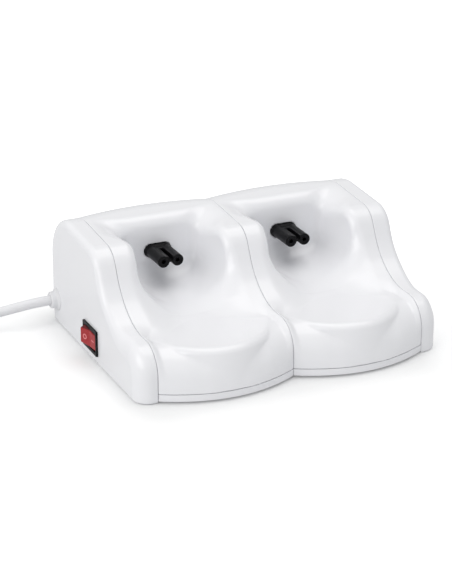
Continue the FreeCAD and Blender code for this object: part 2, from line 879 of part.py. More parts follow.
bezel = block(
    "switch_bezel",
    *around_switch("dims.bezel_width", "dims.bezel_height", f"{CAP_FACE} - dims.bezel_thickness", CAP_FACE),
)
housing = block(
    "switch_case",
    *around_switch("dims.housing_width", "dims.housing_height", CAP_FACE, HOUSING_BACK),
)
rocker_room = block(
    "rocker_room",
    *around_switch(
        "2 * (dims.rocker_radius + dims.rocker_play)",
        "dims.housing_height - 2 * dims.housing_wall",
        f"{CAP_FACE} - dims.bezel_thickness - dims.overrun",
        f"{HOUSING_BACK} - dims.housing_floor",
    ),
)
pin_bore = rod(
    "rocker_pin_bore",
    "z",
    (PIVOT_X, "dims.switch_rearward", "dims.switch_height - dims.housing_height / 2 - dims.overrun"),
    "dims.rocker_pin_radius + dims.pin_play",
    "dims.housing_height + 2 * dims.overrun",
)
blade_slots = [
    block(
        f"blade_slot_{step + 1}",
        (
            f"{HOUSING_BACK} - dims.housing_floor - dims.overrun",
            f"dims.switch_rearward + {step} * dims.blade_pitch"
            " - dims.blade_thickness / 2 - dims.blade_play",
            "dims.switch_height - dims.blade_width / 2 - dims.blade_play",
        ),
        (
            f"{HOUSING_BACK} + dims.overrun",
            f"dims.switch_rearward + {step} * dims.blade_pitch"
            " + dims.blade_thickness / 2 + dims.blade_play",
            "dims.switch_height + dims.blade_width / 2 + dims.blade_play",
        ),
    )
    for step in (-1, 0, 1)
]
cut("switch_housing", fuse("switch_case_solid", [bezel, housing]), [rocker_room, pin_bore] + blade_slots)


def rocker_body():
    """The rocker's own form: ends rounded about its pin and two faces that meet in a valley."""
    radius, back = v("rocker_radius"), v("rocker_back")
    crest, valley = v("rocker_crest"), v("rocker_valley")
    crest_y, back_y = math.sqrt(radius**2 - crest**2), math.sqrt(radius**2 - back**2)
    front, rear = Vector(-crest, crest_y, 0), Vector(back, back_y, 0)
    body = doc.addObject("PartDesign::Body", "rocker_form")
    outline = body.newObject("Sketcher::SketchObject", "rocker_outline")
    outline.AttachmentSupport = (origin_plane(body, "XY_Plane"), [""])
    outline.MapMode = "FlatFace"
    circle = Part.Circle(Vector(), Vector(0, 0, 1), radius)
    front_angle, rear_angle = math.atan2(front.y, front.x), math.atan2(rear.y, rear.x)
    far_front, far_rear = Vector(front.x, -front.y, 0), Vector(rear.x, -rear.y, 0)
    outline.addGeometry(Part.ArcOfCircle(circle, rear_angle, front_angle))
    outline.addGeometry(Part.LineSegment(front, Vector(-valley, 0, 0)))
    outline.addGeometry(Part.LineSegment(Vector(-valley, 0, 0), far_front))
    outline.addGeometry(Part.ArcOfCircle(circle, -front_angle, -rear_angle))
    outline.addGeometry(Part.LineSegment(far_rear, rear))
    joins = ((0, 2, 1, 1), (1, 2, 2, 1), (2, 2, 3, 1), (3, 2, 4, 1), (4, 2, 0, 1))
    for join in joins:
        outline.addConstraint(Sketcher.Constraint("Coincident", *join))
    for geometry in (0, 3):
        outline.addConstraint(Sketcher.Constraint("Coincident", geometry, 3, -1, 1))
    outline.addConstraint(Sketcher.Constraint("PointOnObject", 1, 2, -1))
    outline.addConstraint(Sketcher.Constraint("Symmetric", 1, 1, 2, 2, -1))
    outline.addConstraint(Sketcher.Constraint("Vertical", 4))
    named_size(outline, Sketcher.Constraint("Radius", 0, radius), "radius", "dims.rocker_radius")
    named_size(outline, Sketcher.Constraint("DistanceX", 1, 1, -1, 1, crest), "crest", "dims.rocker_crest")
    named_size(
        outline, Sketcher.Constraint("DistanceX", 1, 2, -1, 1, valley), "valley", "dims.rocker_valley"
    )
    named_size(outline, Sketcher.Constraint("DistanceX", -1, 1, 4, 1, back), "back", "dims.rocker_back")
    pad = body.newObject("PartDesign::Pad", "rocker_pad")
    pad.Profile = outline
    pad.setExpression("Length", "dims.rocker_height")
    pad.Midplane = True
    return body


rocker_pins = rod(
    "rocker_pins",
    "z",
    ("0", "0", "-dims.rocker_height / 2 - dims.rocker_pin"),
    "dims.rocker_pin_radius",
    "dims.rocker_height + 2 * dims.rocker_pin",
)
stem_length = "dims.rocker_back + dims.rocker_stem"
rocker_stem = rod("rocker_stem_tube", "x", ("0", "0", "0"), "dims.rocker_stem_radius", stem_length)
stem_bore = rod(
    "rocker_stem_bore",
    "x",
    ("dims.rocker_back + dims.rocker_stem - dims.bore_depth", "0", "0"),
    "dims.plunger_radius + dims.plunger_play",
    "dims.bore_depth + dims.overrun",
)
lamp_room = block(
    "lamp_room",
    (
        "dims.rocker_back - 2 * dims.lamp_radius - dims.rocker_play",
        "-dims.lamp_offset - dims.lamp_radius - dims.plunger_play",
        "-dims.lamp_length / 2 - dims.plunger_play",
    ),
    (
        "dims.rocker_back + dims.overrun",
        "-dims.lamp_offset + dims.lamp_radius + dims.plunger_play",
        "dims.lamp_length / 2 + dims.plunger_play",
    ),
)


def tip_about(thing, centre_x, tilt):
    """Moves a piece drawn round the origin to its pivot in the switch, tilted about Z."""
    thing.Placement = Placement(Vector(), Rotation(Vector(0, 0, 1), 1))
    thing.setExpression("Placement.Rotation.Angle", tilt)
    return place(thing, (centre_x, "dims.switch_rearward", "dims.switch_height"))


rocker_solid = fuse("rocker_solid", [rocker_body(), rocker_pins, rocker_stem])
rocker = cut("switch_rocker", rocker_solid, [stem_bore, lamp_room])
lamp_glass = rod(
    "lamp_glass",
    "z",
    ("dims.rocker_back - dims.lamp_radius", "-dims.lamp_offset", "-dims.lamp_length / 2"),
    "dims.lamp_radius",
    "dims.lamp_length",
)
plunger_rod = rod(
    "plunger_rod",
    "x",
    ("dims.plunger_reach - dims.plunger_length", "0", "0"),
    "dims.plunger_radius",
    "dims.plunger_length - dims.plunger_radius",
)
plunger_tip = doc.addObject("Part::Sphere", "plunger_tip")
plunger_tip.setExpression("Radius", "dims.plunger_radius")
place(plunger_tip, ("dims.plunger_reach - dims.plunger_radius", "0", "0"))


def plunger_spring():
    """Coil spring between the floor of the stem's bore and the plunger, along X."""
    wire = v("spring_wire")
    floor = v("rocker_back") + v("rocker_stem") - v("bore_depth")
    room = v("plunger_reach") - v("plunger_length") - floor
    radius = v("plunger_radius") - 1.5 * wire
    line = Part.makeHelix(v("spring_pitch"), room - 2 * wire, radius)
    line.Placement = Placement(Vector(floor + wire, 0, 0), TURN["x"])
    section = Part.Wire(Part.makeCircle(wire, Vector(floor + wire, 0, -radius), Vector(0, 1, 0)))
    return Part.Wire(line.Edges).makePipeShell([section], True, True)


for piece in (
    rocker,
    group("switch_lamp", [lamp_glass]),
    fuse("switch_plunger", [plunger_rod, plunger_tip]),
    feature("switch_spring", plunger_spring()),
):
    tip_about(piece, PIVOT_X, "dims.rocker_tilt")

lever = plate("lever_strip", "YZ_Plane", "dims.lever_width", "dims.lever_height", "dims.lever_thickness")
place(lever, ("-dims.lever_standoff - dims.lever_thickness / 2", "0", "0"))
tip_about(group("switch_contact_lever", [lever]), LEVER_X, "-dims.lever_tilt")


def blade(name, rearward, front):
    """A flat terminal that passes through the housing's back."""
    return block(
        name,
        (front, f"{rearward} - dims.blade_thickness / 2", "dims.switch_height - dims.blade_width / 2"),
        (BLADE_END, f"{rearward} + dims.blade_thickness / 2", "dims.switch_height + dims.blade_width / 2"),
    )


pad_rear = f"({HOUSING_BACK} - dims.housing_floor)"
pad_front = f"({pad_rear} - dims.pad_thickness)"
live_rearward = "(dims.switch_rearward + dims.blade_pitch)"
contact_pad = block(
    "contact_pad",
    (pad_front, f"{live_rearward} - dims.pad_width", "dims.switch_height - dims.lever_height / 2"),
    (pad_rear, live_rearward, "dims.switch_height + dims.lever_height / 2"),
)
live_blade = fuse("live_terminal", [blade("live_blade", live_rearward, pad_front), contact_pad])
middle_front = f"{LEVER_X} - dims.lever_standoff + dims.blade_play"
middle_blade = blade("middle_blade", "dims.switch_rearward", middle_front)
lamp_blade = blade("lamp_blade", "dims.switch_rearward - dims.blade_pitch", pad_front)
group("switch_terminals", [live_blade, middle_blade, lamp_blade])

# ---------------------------------------------------------------- mains entry
# The cord enters the left cap through a bush, lies in the saddle under a clamp and ends in
# front of the terminal block.


def on_cord(name, start, radius, length):
    """A cylinder on the axis on which the cord enters."""
    return rod(name, "x", (start, CORD_Y, "dims.cord_height"), radius, length)


gland_face = f"({CAP_FACE} - dims.gland_reach)"
keeper_start = f"({CAP_FACE} + dims.cap_wall + dims.keeper_gap)"
gland_solid = fuse(
    "gland_solid",
    [
        on_cord("gland_flange", gland_face, "dims.gland_radius", "dims.gland_reach"),
        on_cord("gland_neck_tube", CAP_FACE, "dims.gland_neck", f"{keeper_start} - {CAP_FACE}"),
        on_cord("gland_keeper", keeper_start, "dims.keeper_radius", "dims.keeper_length"),
    ],
)
cord_bore = "dims.cord_radius + dims.cord_play"
bore_start = f"{gland_face} - dims.overrun"
gland_bore = on_cord("gland_bore", bore_start, cord_bore, "dims.gland_reach + dims.cap_thickness")
gland_mouth = on_cord(
    "gland_mouth",
    bore_start,
    "dims.gland_radius - dims.gland_rim",
    "dims.gland_recess + dims.overrun",
)
cut("cord_gland", gland_solid, [gland_bore, gland_mouth])
cord_start = f"({CAP_FACE} - dims.cord_joint)"
on_cord("cord_tail", cord_start, "dims.cord_radius", "dims.cord_inside + dims.cord_joint")

clamp_x = f"({CAP_FACE} + dims.clamp_inward)"
clamp_foot = "(dims.cord_height + dims.cord_radius)"
clamp_bar = plate(
    "cord_clamp",
    "XY_Plane",
    "dims.clamp_span",
    "dims.clamp_width",
    "dims.clamp_thickness",
    "dims.clamp_spacing",
    "dims.small_screw_radius + dims.screw_play",
)
clamp_bar.Placement = Placement(Vector(), Rotation(Vector(0, 0, 1), 90))
place(clamp_bar, (clamp_x, CORD_Y, f"{clamp_foot} + dims.clamp_thickness / 2"))
group(
    "cord_clamp_screws",
    [
        screw(
            f"clamp_screw_{hand + 1}",
            "z",
            (
                clamp_x,
                f"{CORD_Y} + {hand} * dims.clamp_spacing / 2",
                f"{clamp_foot} + dims.clamp_thickness",
            ),
            "dims.small_screw_radius",
            "dims.small_screw_length",
            "dims.small_head_radius",
            "dims.small_head_height",
            backwards=True,
        )
        for hand in (-1, 1)
    ],
)

block_right = "(dims.block_width - dims.block_left)"
terminal_solid = block(
    "terminal_solid",
    ("-dims.block_left", f"{BLOCK_REAR} - dims.block_depth", PAN_TOP),
    (block_right, BLOCK_REAR, BLOCK_TOP),
)
wire_holes, screw_holes, pole_screws = [], [], []
for pole in (0, 1):
    pole_y = f"({BLOCK_REAR} - dims.block_depth + dims.pole_inset + {pole} * dims.pole_pitch)"
    for level in ("low", "high"):
        hole_start = ("-dims.block_left - dims.overrun", pole_y, f"{PAN_TOP} + dims.wire_{level}")
        label = f"wire_hole_{pole}_{level}"
        hole_length = "dims.block_width + 2 * dims.overrun"
        wire_holes.append(rod(label, "x", hole_start, "dims.wire_hole", hole_length))
    for end, pole_x in (
        ("left", "dims.pole_screw_inset - dims.block_left"),
        ("right", f"{block_right} - dims.pole_screw_inset"),
    ):
        foot = (pole_x, pole_y, f"{BLOCK_TOP} - dims.pole_screw_length")
        hole_radius = "dims.pole_screw_radius + dims.pilot_play"
        screw_holes.append(rod(f"pole_hole_{pole}_{end}", "z", foot, hole_radius, "dims.block_height"))
        label = f"pole_screw_{pole}_{end}"
        pole_screws.append(rod(label, "z", foot, "dims.pole_screw_radius", "dims.pole_screw_length"))
cut("terminal_block", terminal_solid, wire_holes + screw_holes)
group("terminal_screws", pole_screws)

# ---------------------------------------------------------------- leads and cord
# Every lead and the cord's free stretches are straight runs joined by tangent arcs.

RUN_SHARE = 0.45  # how much of the shorter run beside a bend its arc takes


def tube_path(points):
    """Wire through straight runs whose corners are rounded as far as the runs allow."""
    edges, last, radii = [], points[0], []
    for before, corner, after in zip(points, points[1:], points[2:]):
        inward, outward = corner - before, after - corner
        half_turn = inward.getAngle(outward) / 2
        reach = RUN_SHARE * min(inward.Length, outward.Length)
        radii.append(reach / math.tan(half_turn))
        inward.normalize()
        outward.normalize()
        start, end = corner - reach * inward, corner + reach * outward
        bisector = outward - inward
        bisector.normalize()
        middle = corner + bisector * (radii[-1] / math.cos(half_turn) - radii[-1])
        edges += lines([last, start]) + [arc(start, middle, end)]
        last = end
    return Part.Wire(edges + lines([last, points[-1]])), radii


def tube(name, points, radius):
    """A round tube along a rounded route."""
    points = [Vector(*point) for point in points]
    path, radii = tube_path(points)
    section = Part.Wire(Part.makeCircle(radius, points[0], points[1] - points[0]))
    shape = path.makePipeShell([section], True, False)
    ideal = math.pi * radius**2 * path.Length
    bends = ", ".join(f"{bend:.0f}" for bend in radii)
    print(f"{name}: length {path.Length:.1f}, bends {bends}, volume {shape.Volume / ideal:.4f} of ideal")
    return feature(name, shape)


CAP_X = -v("station_width") - v("cap_thickness")
cord_end = CAP_X + v("cord_inside")
core = v("cord_radius") - v("lead_radius") - v("core_inset")
blade_x = CAP_X + v("housing_depth") + v("blade_length")
blade_y, blade_z = v("switch_rearward"), v("switch_height")
pitch = v("blade_pitch")
block_in = -v("block_left") + v("wire_entry")
block_out = v("block_width") - v("block_left") - v("wire_entry")
live_y = BLOCK_FRONT + v("pole_inset")
neutral_y = live_y + v("pole_pitch")
low_z, high_z = PLATE_TOP + v("wire_low"), PLATE_TOP + v("wire_high")
tail_y = v("dock_back") + v("shell_wall") + v("flange_depth") + v("plug_tail")
tail_y += v("sleeve_end") + v("sleeve_tail")
plug_z = v("plug_height")
half_station, half_pins = v("station_width") / 2, v("pin_spacing") / 2
cord_y, cord_z = CORD_BACK, v("cord_height")

LEADS = {
    "lead_live_in": [
        (cord_end, cord_y - core, cord_z),
        (cord_end + 5, cord_y - core, cord_z),
        (cord_end + 7.5, cord_y - 13, cord_z - 1),
        (cord_end + 3, cord_y - 32, blade_z),
        (blade_x + 15, blade_y + pitch + 2, blade_z),
        (blade_x + 7, blade_y + pitch, blade_z),
        (blade_x, blade_y + pitch, blade_z),
    ],
    "lead_neutral_in": [
        (cord_end, cord_y + core, cord_z),
        (cord_end + 4, cord_y + core, cord_z),
        (block_in - 9.5, neutral_y - 0.3, low_z + 1),
        (block_in - 5, neutral_y, low_z),
        (block_in, neutral_y, low_z),
    ],
    "lead_live_switched": [
        (blade_x, blade_y, blade_z),
        (blade_x + 7.5, blade_y, blade_z),
        (blade_x + 19, blade_y + 10, blade_z - 2),
        (block_in - 12, live_y - 24, low_z + 0.3),
        (block_in - 11.5, live_y - 6, low_z),
        (block_in - 7.5, live_y, low_z),
        (block_in, live_y, low_z),
    ],
    "lead_lamp_neutral": [
        (blade_x, blade_y - pitch, blade_z),
        (blade_x + 9, blade_y - pitch, blade_z),
        (blade_x + 25, blade_y - 1, blade_z - 2),
        (block_out - 7, live_y - 34, low_z + 0.7),
        (block_out + 11, live_y - 18, low_z + 0.3),
        (block_out + 16, live_y - 4, low_z + 0.1),
        (block_out + 12, neutral_y - 1.5, low_z),
        (block_out + 6, neutral_y, low_z),
        (block_out, neutral_y, low_z),
    ],
    "lead_live_left": [
        (block_in, live_y, high_z),
        (block_in - 6, live_y, high_z),
        (block_in - 9, live_y + 1, high_z + 4.3),
        (half_pins - half_station - 0.4, live_y + 7.5, plug_z - 8.5),
        (half_pins - half_station, live_y + 8, plug_z),
        (half_pins - half_station, tail_y, plug_z),
    ],
    "lead_neutral_left": [
        (block_in, neutral_y, high_z),
        (block_in - 6, neutral_y, high_z),
        (block_in - 7.5, neutral_y + 1.5, high_z + 8),
        (half_pins - half_station - 6, neutral_y + 2.3, plug_z - 12),
        (-half_pins - half_station, neutral_y + 2.5, plug_z),
        (-half_pins - half_station, tail_y, plug_z),
    ],
    "lead_live_right": [
        (block_out, live_y, high_z),
        (block_out + 7, live_y, high_z),
        (block_out + 21, live_y + 3, high_z + 1.3),
        (half_station - half_pins - 14, live_y + 8, plug_z - 20),
        (half_station - half_pins, live_y + 8.5, plug_z),
        (half_station - half_pins, tail_y, plug_z),
    ],
    "lead_neutral_right": [
        (block_out, neutral_y, high_z),
        (block_out + 7, neutral_y, high_z),
        (block_out + 21, neutral_y + 1.5, high_z + 1.8),
        (half_station + half_pins - 14.5, neutral_y + 2.3, plug_z - 18),
        (half_station + half_pins, neutral_y + 2.5, plug_z),
        (half_station + half_pins, tail_y, plug_z),
    ],
}
for name, points in LEADS.items():
    tube(name, points, v("lead_radius"))

# The free cord leaves the bush to the left, comes down to the table and runs into a flat
# coil; from the coil's upper layer a short stretch leads to the plug.
tube(
    "mains_cord",
    [
        (CAP_X - v("cord_joint"), cord_y, cord_z),
        (-105, cord_y, cord_z),
        (-115.5, 63.3, 13.7),
        (-126, 66, 11.3),
        (-135.5, 70.2, 8.6),
        (-144.5, 75.2, 6.2),
    ],
    v("cord_radius"),
)
PLUG_END_OF_CORD = (-219.5, -5.3, 6.85)
tube(
    "mains_cord_plug_end",
    [
        (-223.9, 20.6, 8.3),
        (-221.3, 12.9, 7.6),
        (-219.5, 3.7, 6.85),
        PLUG_END_OF_CORD,
    ],
    v("cord_radius"),
)
COIL_CENTRE = ("-dims.coil_leftward", "dims.coil_rearward", "0")
coil_outside = rod("coil_outside", "z", COIL_CENTRE, "dims.coil_outer", "dims.coil_height")
coil_inside = rod("coil_inside", "z", COIL_CENTRE, "dims.coil_inner", "dims.coil_height")
coil_ring = cut("coil_ring", coil_outside, [coil_inside])


def rounded(name, base, radius, curve):
    """A copy of a piece with all its edges of one kind of curve filleted."""
    doc.recompute()
    fillet = doc.addObject("Part::Fillet", name)
    fillet.Base = base
    picked = [index for index, edge in enumerate(base.Shape.Edges, 1) if isinstance(edge.Curve, curve)]
    fillet.Edges = [(index, radius, radius) for index in picked]
    return fillet


rounded("cord_coil", coil_ring, v("coil_round"), Part.Circle)

# ---------------------------------------------------------------- mains plug
plug_x, plug_y, plug_mid = PLUG_END_OF_CORD
body_rear = f"({plug_y} - dims.plug_sleeve_length)"
body_front = f"({body_rear} - dims.mains_plug_length)"
plug_block = block(
    "mains_plug_block",
    (
        f"{plug_x} - dims.mains_plug_width / 2",
        body_front,
        f"{plug_mid} - dims.mains_plug_height / 2",
    ),
    (
        f"{plug_x} + dims.mains_plug_width / 2",
        body_rear,
        f"{plug_mid} + dims.mains_plug_height / 2",
    ),
)
plug_form = rounded("mains_plug_form", plug_block, v("mains_plug_round"), Part.Line)
sleeve = doc.addObject("Part::Cone", "plug_sleeve")
sleeve.Placement = Placement(Vector(), TURN["y"])
sleeve.setExpression("Radius1", "dims.plug_sleeve_radius")
sleeve.setExpression("Radius2", "dims.cord_radius")
sleeve.setExpression("Height", "dims.plug_sleeve_length")
place(sleeve, (plug_x, body_rear, plug_mid))
prongs, prong_holes = [], []
for hand in (-1, 1):
    prong_x = f"{plug_x} + {hand} * dims.prong_spacing / 2"
    start = (prong_x, f"{body_front} - dims.prong_length", plug_mid)
    prongs.append(
        rod(f"prong_{hand + 1}", "y", start, "dims.prong_radius", "dims.prong_length + dims.prong_root")
    )
    start = (prong_x, f"{body_front} - dims.overrun", plug_mid)
    hole_radius = "dims.prong_radius + dims.pin_play"
    hole_length = "dims.prong_root + dims.overrun"
    prong_holes.append(rod(f"prong_hole_{hand + 1}", "y", start, hole_radius, hole_length))
cut("mains_plug", fuse("mains_plug_solid", [plug_form, sleeve]), prong_holes)
group("plug_pins", prongs)

# ---------------------------------------------------------------- checks and files
doc.recompute()
for thing in doc.Objects:
    if "Invalid" in thing.State or "Error" in thing.State:
        raise RuntimeError(f"{thing.Label} did not build: {thing.State}")

NODES = [
    "switch_housing", "switch_rocker", "switch_lamp", "switch_plunger", "switch_spring",
    "switch_contact_lever", "switch_terminals", "cord_gland", "cord_tail", "cord_clamp",
    "cord_clamp_screws", "terminal_block", "terminal_screws", "retainer_screws",
    "seam_strap_front", "seam_strap_rear", "mains_cord", "mains_cord_plug_end", "cord_coil",
    "mains_plug", "plug_pins", *LEADS,
]
for name in ("station_shell", "base_pan", "end_cap", "dock_plug", "plug_contacts", "plug_retainer",
             "case_screws", "rubber_feet"):
    NODES += [f"{name}_left", f"{name}_right"]

os.makedirs("parts", exist_ok=True)
for name in NODES:
    shape = doc.getObject(name).Shape
    if shape.isNull() or not shape.isValid() or not shape.Solids:
        raise RuntimeError(f"{name} is not a valid solid")
    shape.exportStep(f"parts/{name}.step")
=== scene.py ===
import math

import bpy
import numpy as np
from mathutils import Matrix, Vector


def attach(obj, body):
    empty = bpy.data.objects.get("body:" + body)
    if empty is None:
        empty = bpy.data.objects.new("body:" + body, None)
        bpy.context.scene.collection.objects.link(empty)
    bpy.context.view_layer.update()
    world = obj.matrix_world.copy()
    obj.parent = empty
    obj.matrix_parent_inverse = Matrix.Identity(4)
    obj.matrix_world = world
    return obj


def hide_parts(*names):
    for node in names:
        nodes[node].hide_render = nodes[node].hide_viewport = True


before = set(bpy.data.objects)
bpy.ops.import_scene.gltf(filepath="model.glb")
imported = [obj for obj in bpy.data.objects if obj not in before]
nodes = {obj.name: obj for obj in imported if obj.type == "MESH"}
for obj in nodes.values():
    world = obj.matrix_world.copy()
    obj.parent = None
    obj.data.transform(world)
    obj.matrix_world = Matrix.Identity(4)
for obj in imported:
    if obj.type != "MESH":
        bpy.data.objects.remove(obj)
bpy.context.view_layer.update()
scene = bpy.context.scene
scene.view_settings.view_transform = "Standard"

# ---------------------------------------------------------------- view and studio
# A long lens looks down on the base from its front left. It stands on a white table that runs
# out of sight, under a soft white sky with one large lamp above it and one at its left. All
# lengths in this section are in metres.
FOCAL_LENGTH, SENSOR = 117.46, 36
EYE, GAZE = Vector((-0.4302, -0.9248, 0.4461)), Vector((0.38144, 0.84269, -0.37996))
lens = bpy.data.cameras.new("lens")
lens.lens, lens.sensor_width = FOCAL_LENGTH, SENSOR
camera = bpy.data.objects.new("camera", lens)
scene.collection.objects.link(camera)
camera.location = EYE
camera.rotation_euler = GAZE.to_track_quat("-Z", "Y").to_euler()
scene.camera = camera


def shader_tree(material):
    """A material's nodes, emptied of everything but its output, and a helper that adds nodes."""
    material.use_nodes = True
    tree = material.node_tree
    tree.nodes.clear()

    def add(kind, **inputs):
        node = tree.nodes.new("ShaderNode" + kind)
        for name, given in inputs.items():
            socket = node.inputs[name.replace("_", " ")]
            if isinstance(given, bpy.types.NodeSocket):
                tree.links.new(given, socket)
            else:
                socket.default_value = given
        return node

    return tree, add


SKY_TINT, SKY_LIGHT, SKY_SEEN = (0.985, 0.993, 1, 1), 0.55, 1.0
world = bpy.data.worlds.new("sky")
scene.world = world
tree, add = shader_tree(world)
ray = add("LightPath")
seen = add("Math")
seen.operation = "MAXIMUM"
tree.links.new(ray.outputs["Is Camera Ray"], seen.inputs[0])
tree.links.new(ray.outputs["Is Transmission Ray"], seen.inputs[1])
strength = add("MapRange", Value=seen.outputs[0], To_Min=SKY_LIGHT, To_Max=SKY_SEEN)
sky = add("Background", Color=SKY_TINT, Strength=strength.outputs[0])
add("OutputWorld", Surface=sky.outputs[0])

LAMP_TINT = (1, 0.982, 0.96)


def lamp(name, place, aim, width, height, power):
    """A rectangular soft lamp, a little warm, that looks at a point."""
    data = bpy.data.lights.new(name, "AREA")
    data.shape = "RECTANGLE"
    data.size, data.size_y, data.energy = width, height, power
    data.color = LAMP_TINT
    item = bpy.data.objects.new(name, data)
    scene.collection.objects.link(item)
    item.location = place
    item.rotation_euler = (Vector(aim) - Vector(place)).to_track_quat("-Z", "Y").to_euler()


lamp("top_lamp", place=(0.25, 0.05, 1.5), aim=(0, 0, 0), width=1.2, height=1.2, power=7.4)
lamp("side_lamp", place=(-1.29, -0.48, 0.75), aim=(0, 0, 0.03), width=1.3, height=0.8, power=7.6)

# To the camera the table glows, so that it stays white. The glow fades towards the base's
# footprint, where the real shadow shows and the weaker glow paints more shade round the base.
# Each stop of the glow is a share of its reach and a strength.
TABLE_SIZE, TABLE_WHITE = 12, (0.795, 0.8, 0.804, 1)
FOOTPRINT_MIDDLE, FOOTPRINT_HALF = (-0.007, -0.0025, 0), (0.073, 0.066, 0)
GLOW_REACH = 0.1
GLOW = ((0.04, 0.12), (0.12, 0.15), (0.25, 0.26), (1, 0.6))
bpy.ops.mesh.primitive_plane_add(size=TABLE_SIZE)
table = bpy.context.object
table.name = "table"
paper = bpy.data.materials.new("white_table")
tree, add = shader_tree(paper)
ray = add("LightPath")
diffuse = add("BsdfDiffuse", Color=TABLE_WHITE)
beyond = add("TexCoord").outputs["Object"]
for operation, other in (
    ("SUBTRACT", FOOTPRINT_MIDDLE),
    ("ABSOLUTE", (0, 0, 0)),
    ("SUBTRACT", FOOTPRINT_HALF),
    ("MAXIMUM", (0, 0, 0)),
):
    step = add("VectorMath", Vector=beyond)
    step.operation = operation
    step.inputs[1].default_value = other
    beyond = step.outputs["Vector"]
away = add("VectorMath", Vector=beyond)
away.operation = "LENGTH"
share = add("MapRange", Value=away.outputs["Value"], From_Max=GLOW_REACH)
level = add("ValToRGB", Fac=share.outputs[0])
for place, _ in GLOW[1:-1]:
    level.color_ramp.elements.new(place)
for stop, (place, bright) in zip(level.color_ramp.elements, GLOW):
    stop.position, stop.color = place, (bright, bright, bright, 1)
glow = add("Emission", Color=(1, 1, 1, 1), Strength=level.outputs["Color"])
both = add("AddShader")
tree.links.new(diffuse.outputs[0], both.inputs[0])
tree.links.new(glow.outputs[0], both.inputs[1])
mix = add("MixShader", Fac=ray.outputs["Is Camera Ray"])
tree.links.new(diffuse.outputs[0], mix.inputs[1])
tree.links.new(both.outputs[0], mix.inputs[2])
add("OutputMaterial", Surface=mix.outputs[0])
table.data.materials.append(paper)

# ---------------------------------------------------------------- station shells
# Two glossy white ABS mouldings, one per dock: a thin skin with a bowed front, a round
# platform with a rolled lip, a dock pocket with soft rims and a hollow sweep on each rail.
# From here on the named sizes and places are in mm, and MM turns them into metres.
MM = 0.001


def ease(value, start, end):
    """0 before start, 1 after end and smooth between."""
    share = np.clip((value - start) / (end - start), 0, 1)
    return share * share * (3 - 2 * share)


def meet(one, other, radius):
    """Distance field of what lies inside both fields, with their common edge rounded."""
    corner = np.hypot(np.maximum(one + radius, 0), np.maximum(other + radius, 0))
    return corner - radius + np.minimum(np.maximum(one, other) + radius, 0)


def join(one, other, radius):
    """Distance field of what lies inside either field, with the valley between them filled."""
    return -meet(-one, -other, radius)


def steps(*stretches):
    """Grid lines, in mm: each stretch is (start, end, pitch)."""
    lines = []
    for start, end, pitch in stretches:
        lines.append(np.linspace(start, end, max(1, round((end - start) / pitch)), endpoint=False))
    return np.append(np.concatenate(lines), stretches[-1][1])


SETTLING_ROUNDS, LONGEST_PUSH, LEAST_SLOPE = 4, 0.3, 0.1
SLOPE_REACH, NORMAL_REACH = 0.04, 0.12


def crossing_points(value, axes, cells):
    """For each cell that the skin runs through, the middle of the places where it cuts an edge."""
    total, count = np.zeros((len(cells), 3)), np.zeros((len(cells), 1))
    for along in range(3):
        unit = np.eye(3, dtype=int)[along]
        for shift in np.ndindex(2, 2, 2):
            if shift[along]:
                continue
            start = cells + shift
            end = start + unit
            a, b = value[tuple(start.T)], value[tuple(end.T)]
            crossed = (a < 0) != (b < 0)
            share = (a[crossed] / (a[crossed] - b[crossed]))[:, None]
            first = np.stack([axis[start[crossed, i]] for i, axis in enumerate(axes)], 1)
            last = np.stack([axis[end[crossed, i]] for i, axis in enumerate(axes)], 1)
            total[crossed] += first + share * (last - first)
            count[crossed] += 1
    return total / count


def slope(field, points, reach):
    """How fast a field grows at each point, measured over a short reach both ways."""
    parts = []
    for along in range(3):
        ahead, behind = points.copy(), points.copy()
        ahead[:, along] += reach
        behind[:, along] -= reach
        parts.append((field(*ahead.T) - field(*behind.T)) / (2 * reach))
    return np.stack(parts, 1)


def skin_quads(solid, number):
    """One face for each grid edge that the skin cuts, between the cells round it, facing out."""
    shape = number.shape
    quads = []
    for along in range(3):
        u, w = (along + 1) % 3, (along + 2) % 3
        low = np.take(solid, range(shape[along]), along)
        high = np.take(solid, range(1, shape[along] + 1), along)
        edges = np.argwhere(low != high)
        inner = (edges[:, u] > 0) & (edges[:, u] < shape[u])
        inner &= (edges[:, w] > 0) & (edges[:, w] < shape[w])
        edges = edges[inner]
        ring = []
        for du, dw in ((0, 0), (-1, 0), (-1, -1), (0, -1)):
            cell = edges.copy()
            cell[:, u] += du
            cell[:, w] += dw
            ring.append(number[tuple(cell.T)])
        ring = np.stack(ring, 1)
        flipped = ~low[tuple(edges.T)]
        ring[flipped] = ring[flipped][:, ::-1]
        quads.append(ring)
    return np.concatenate(quads)


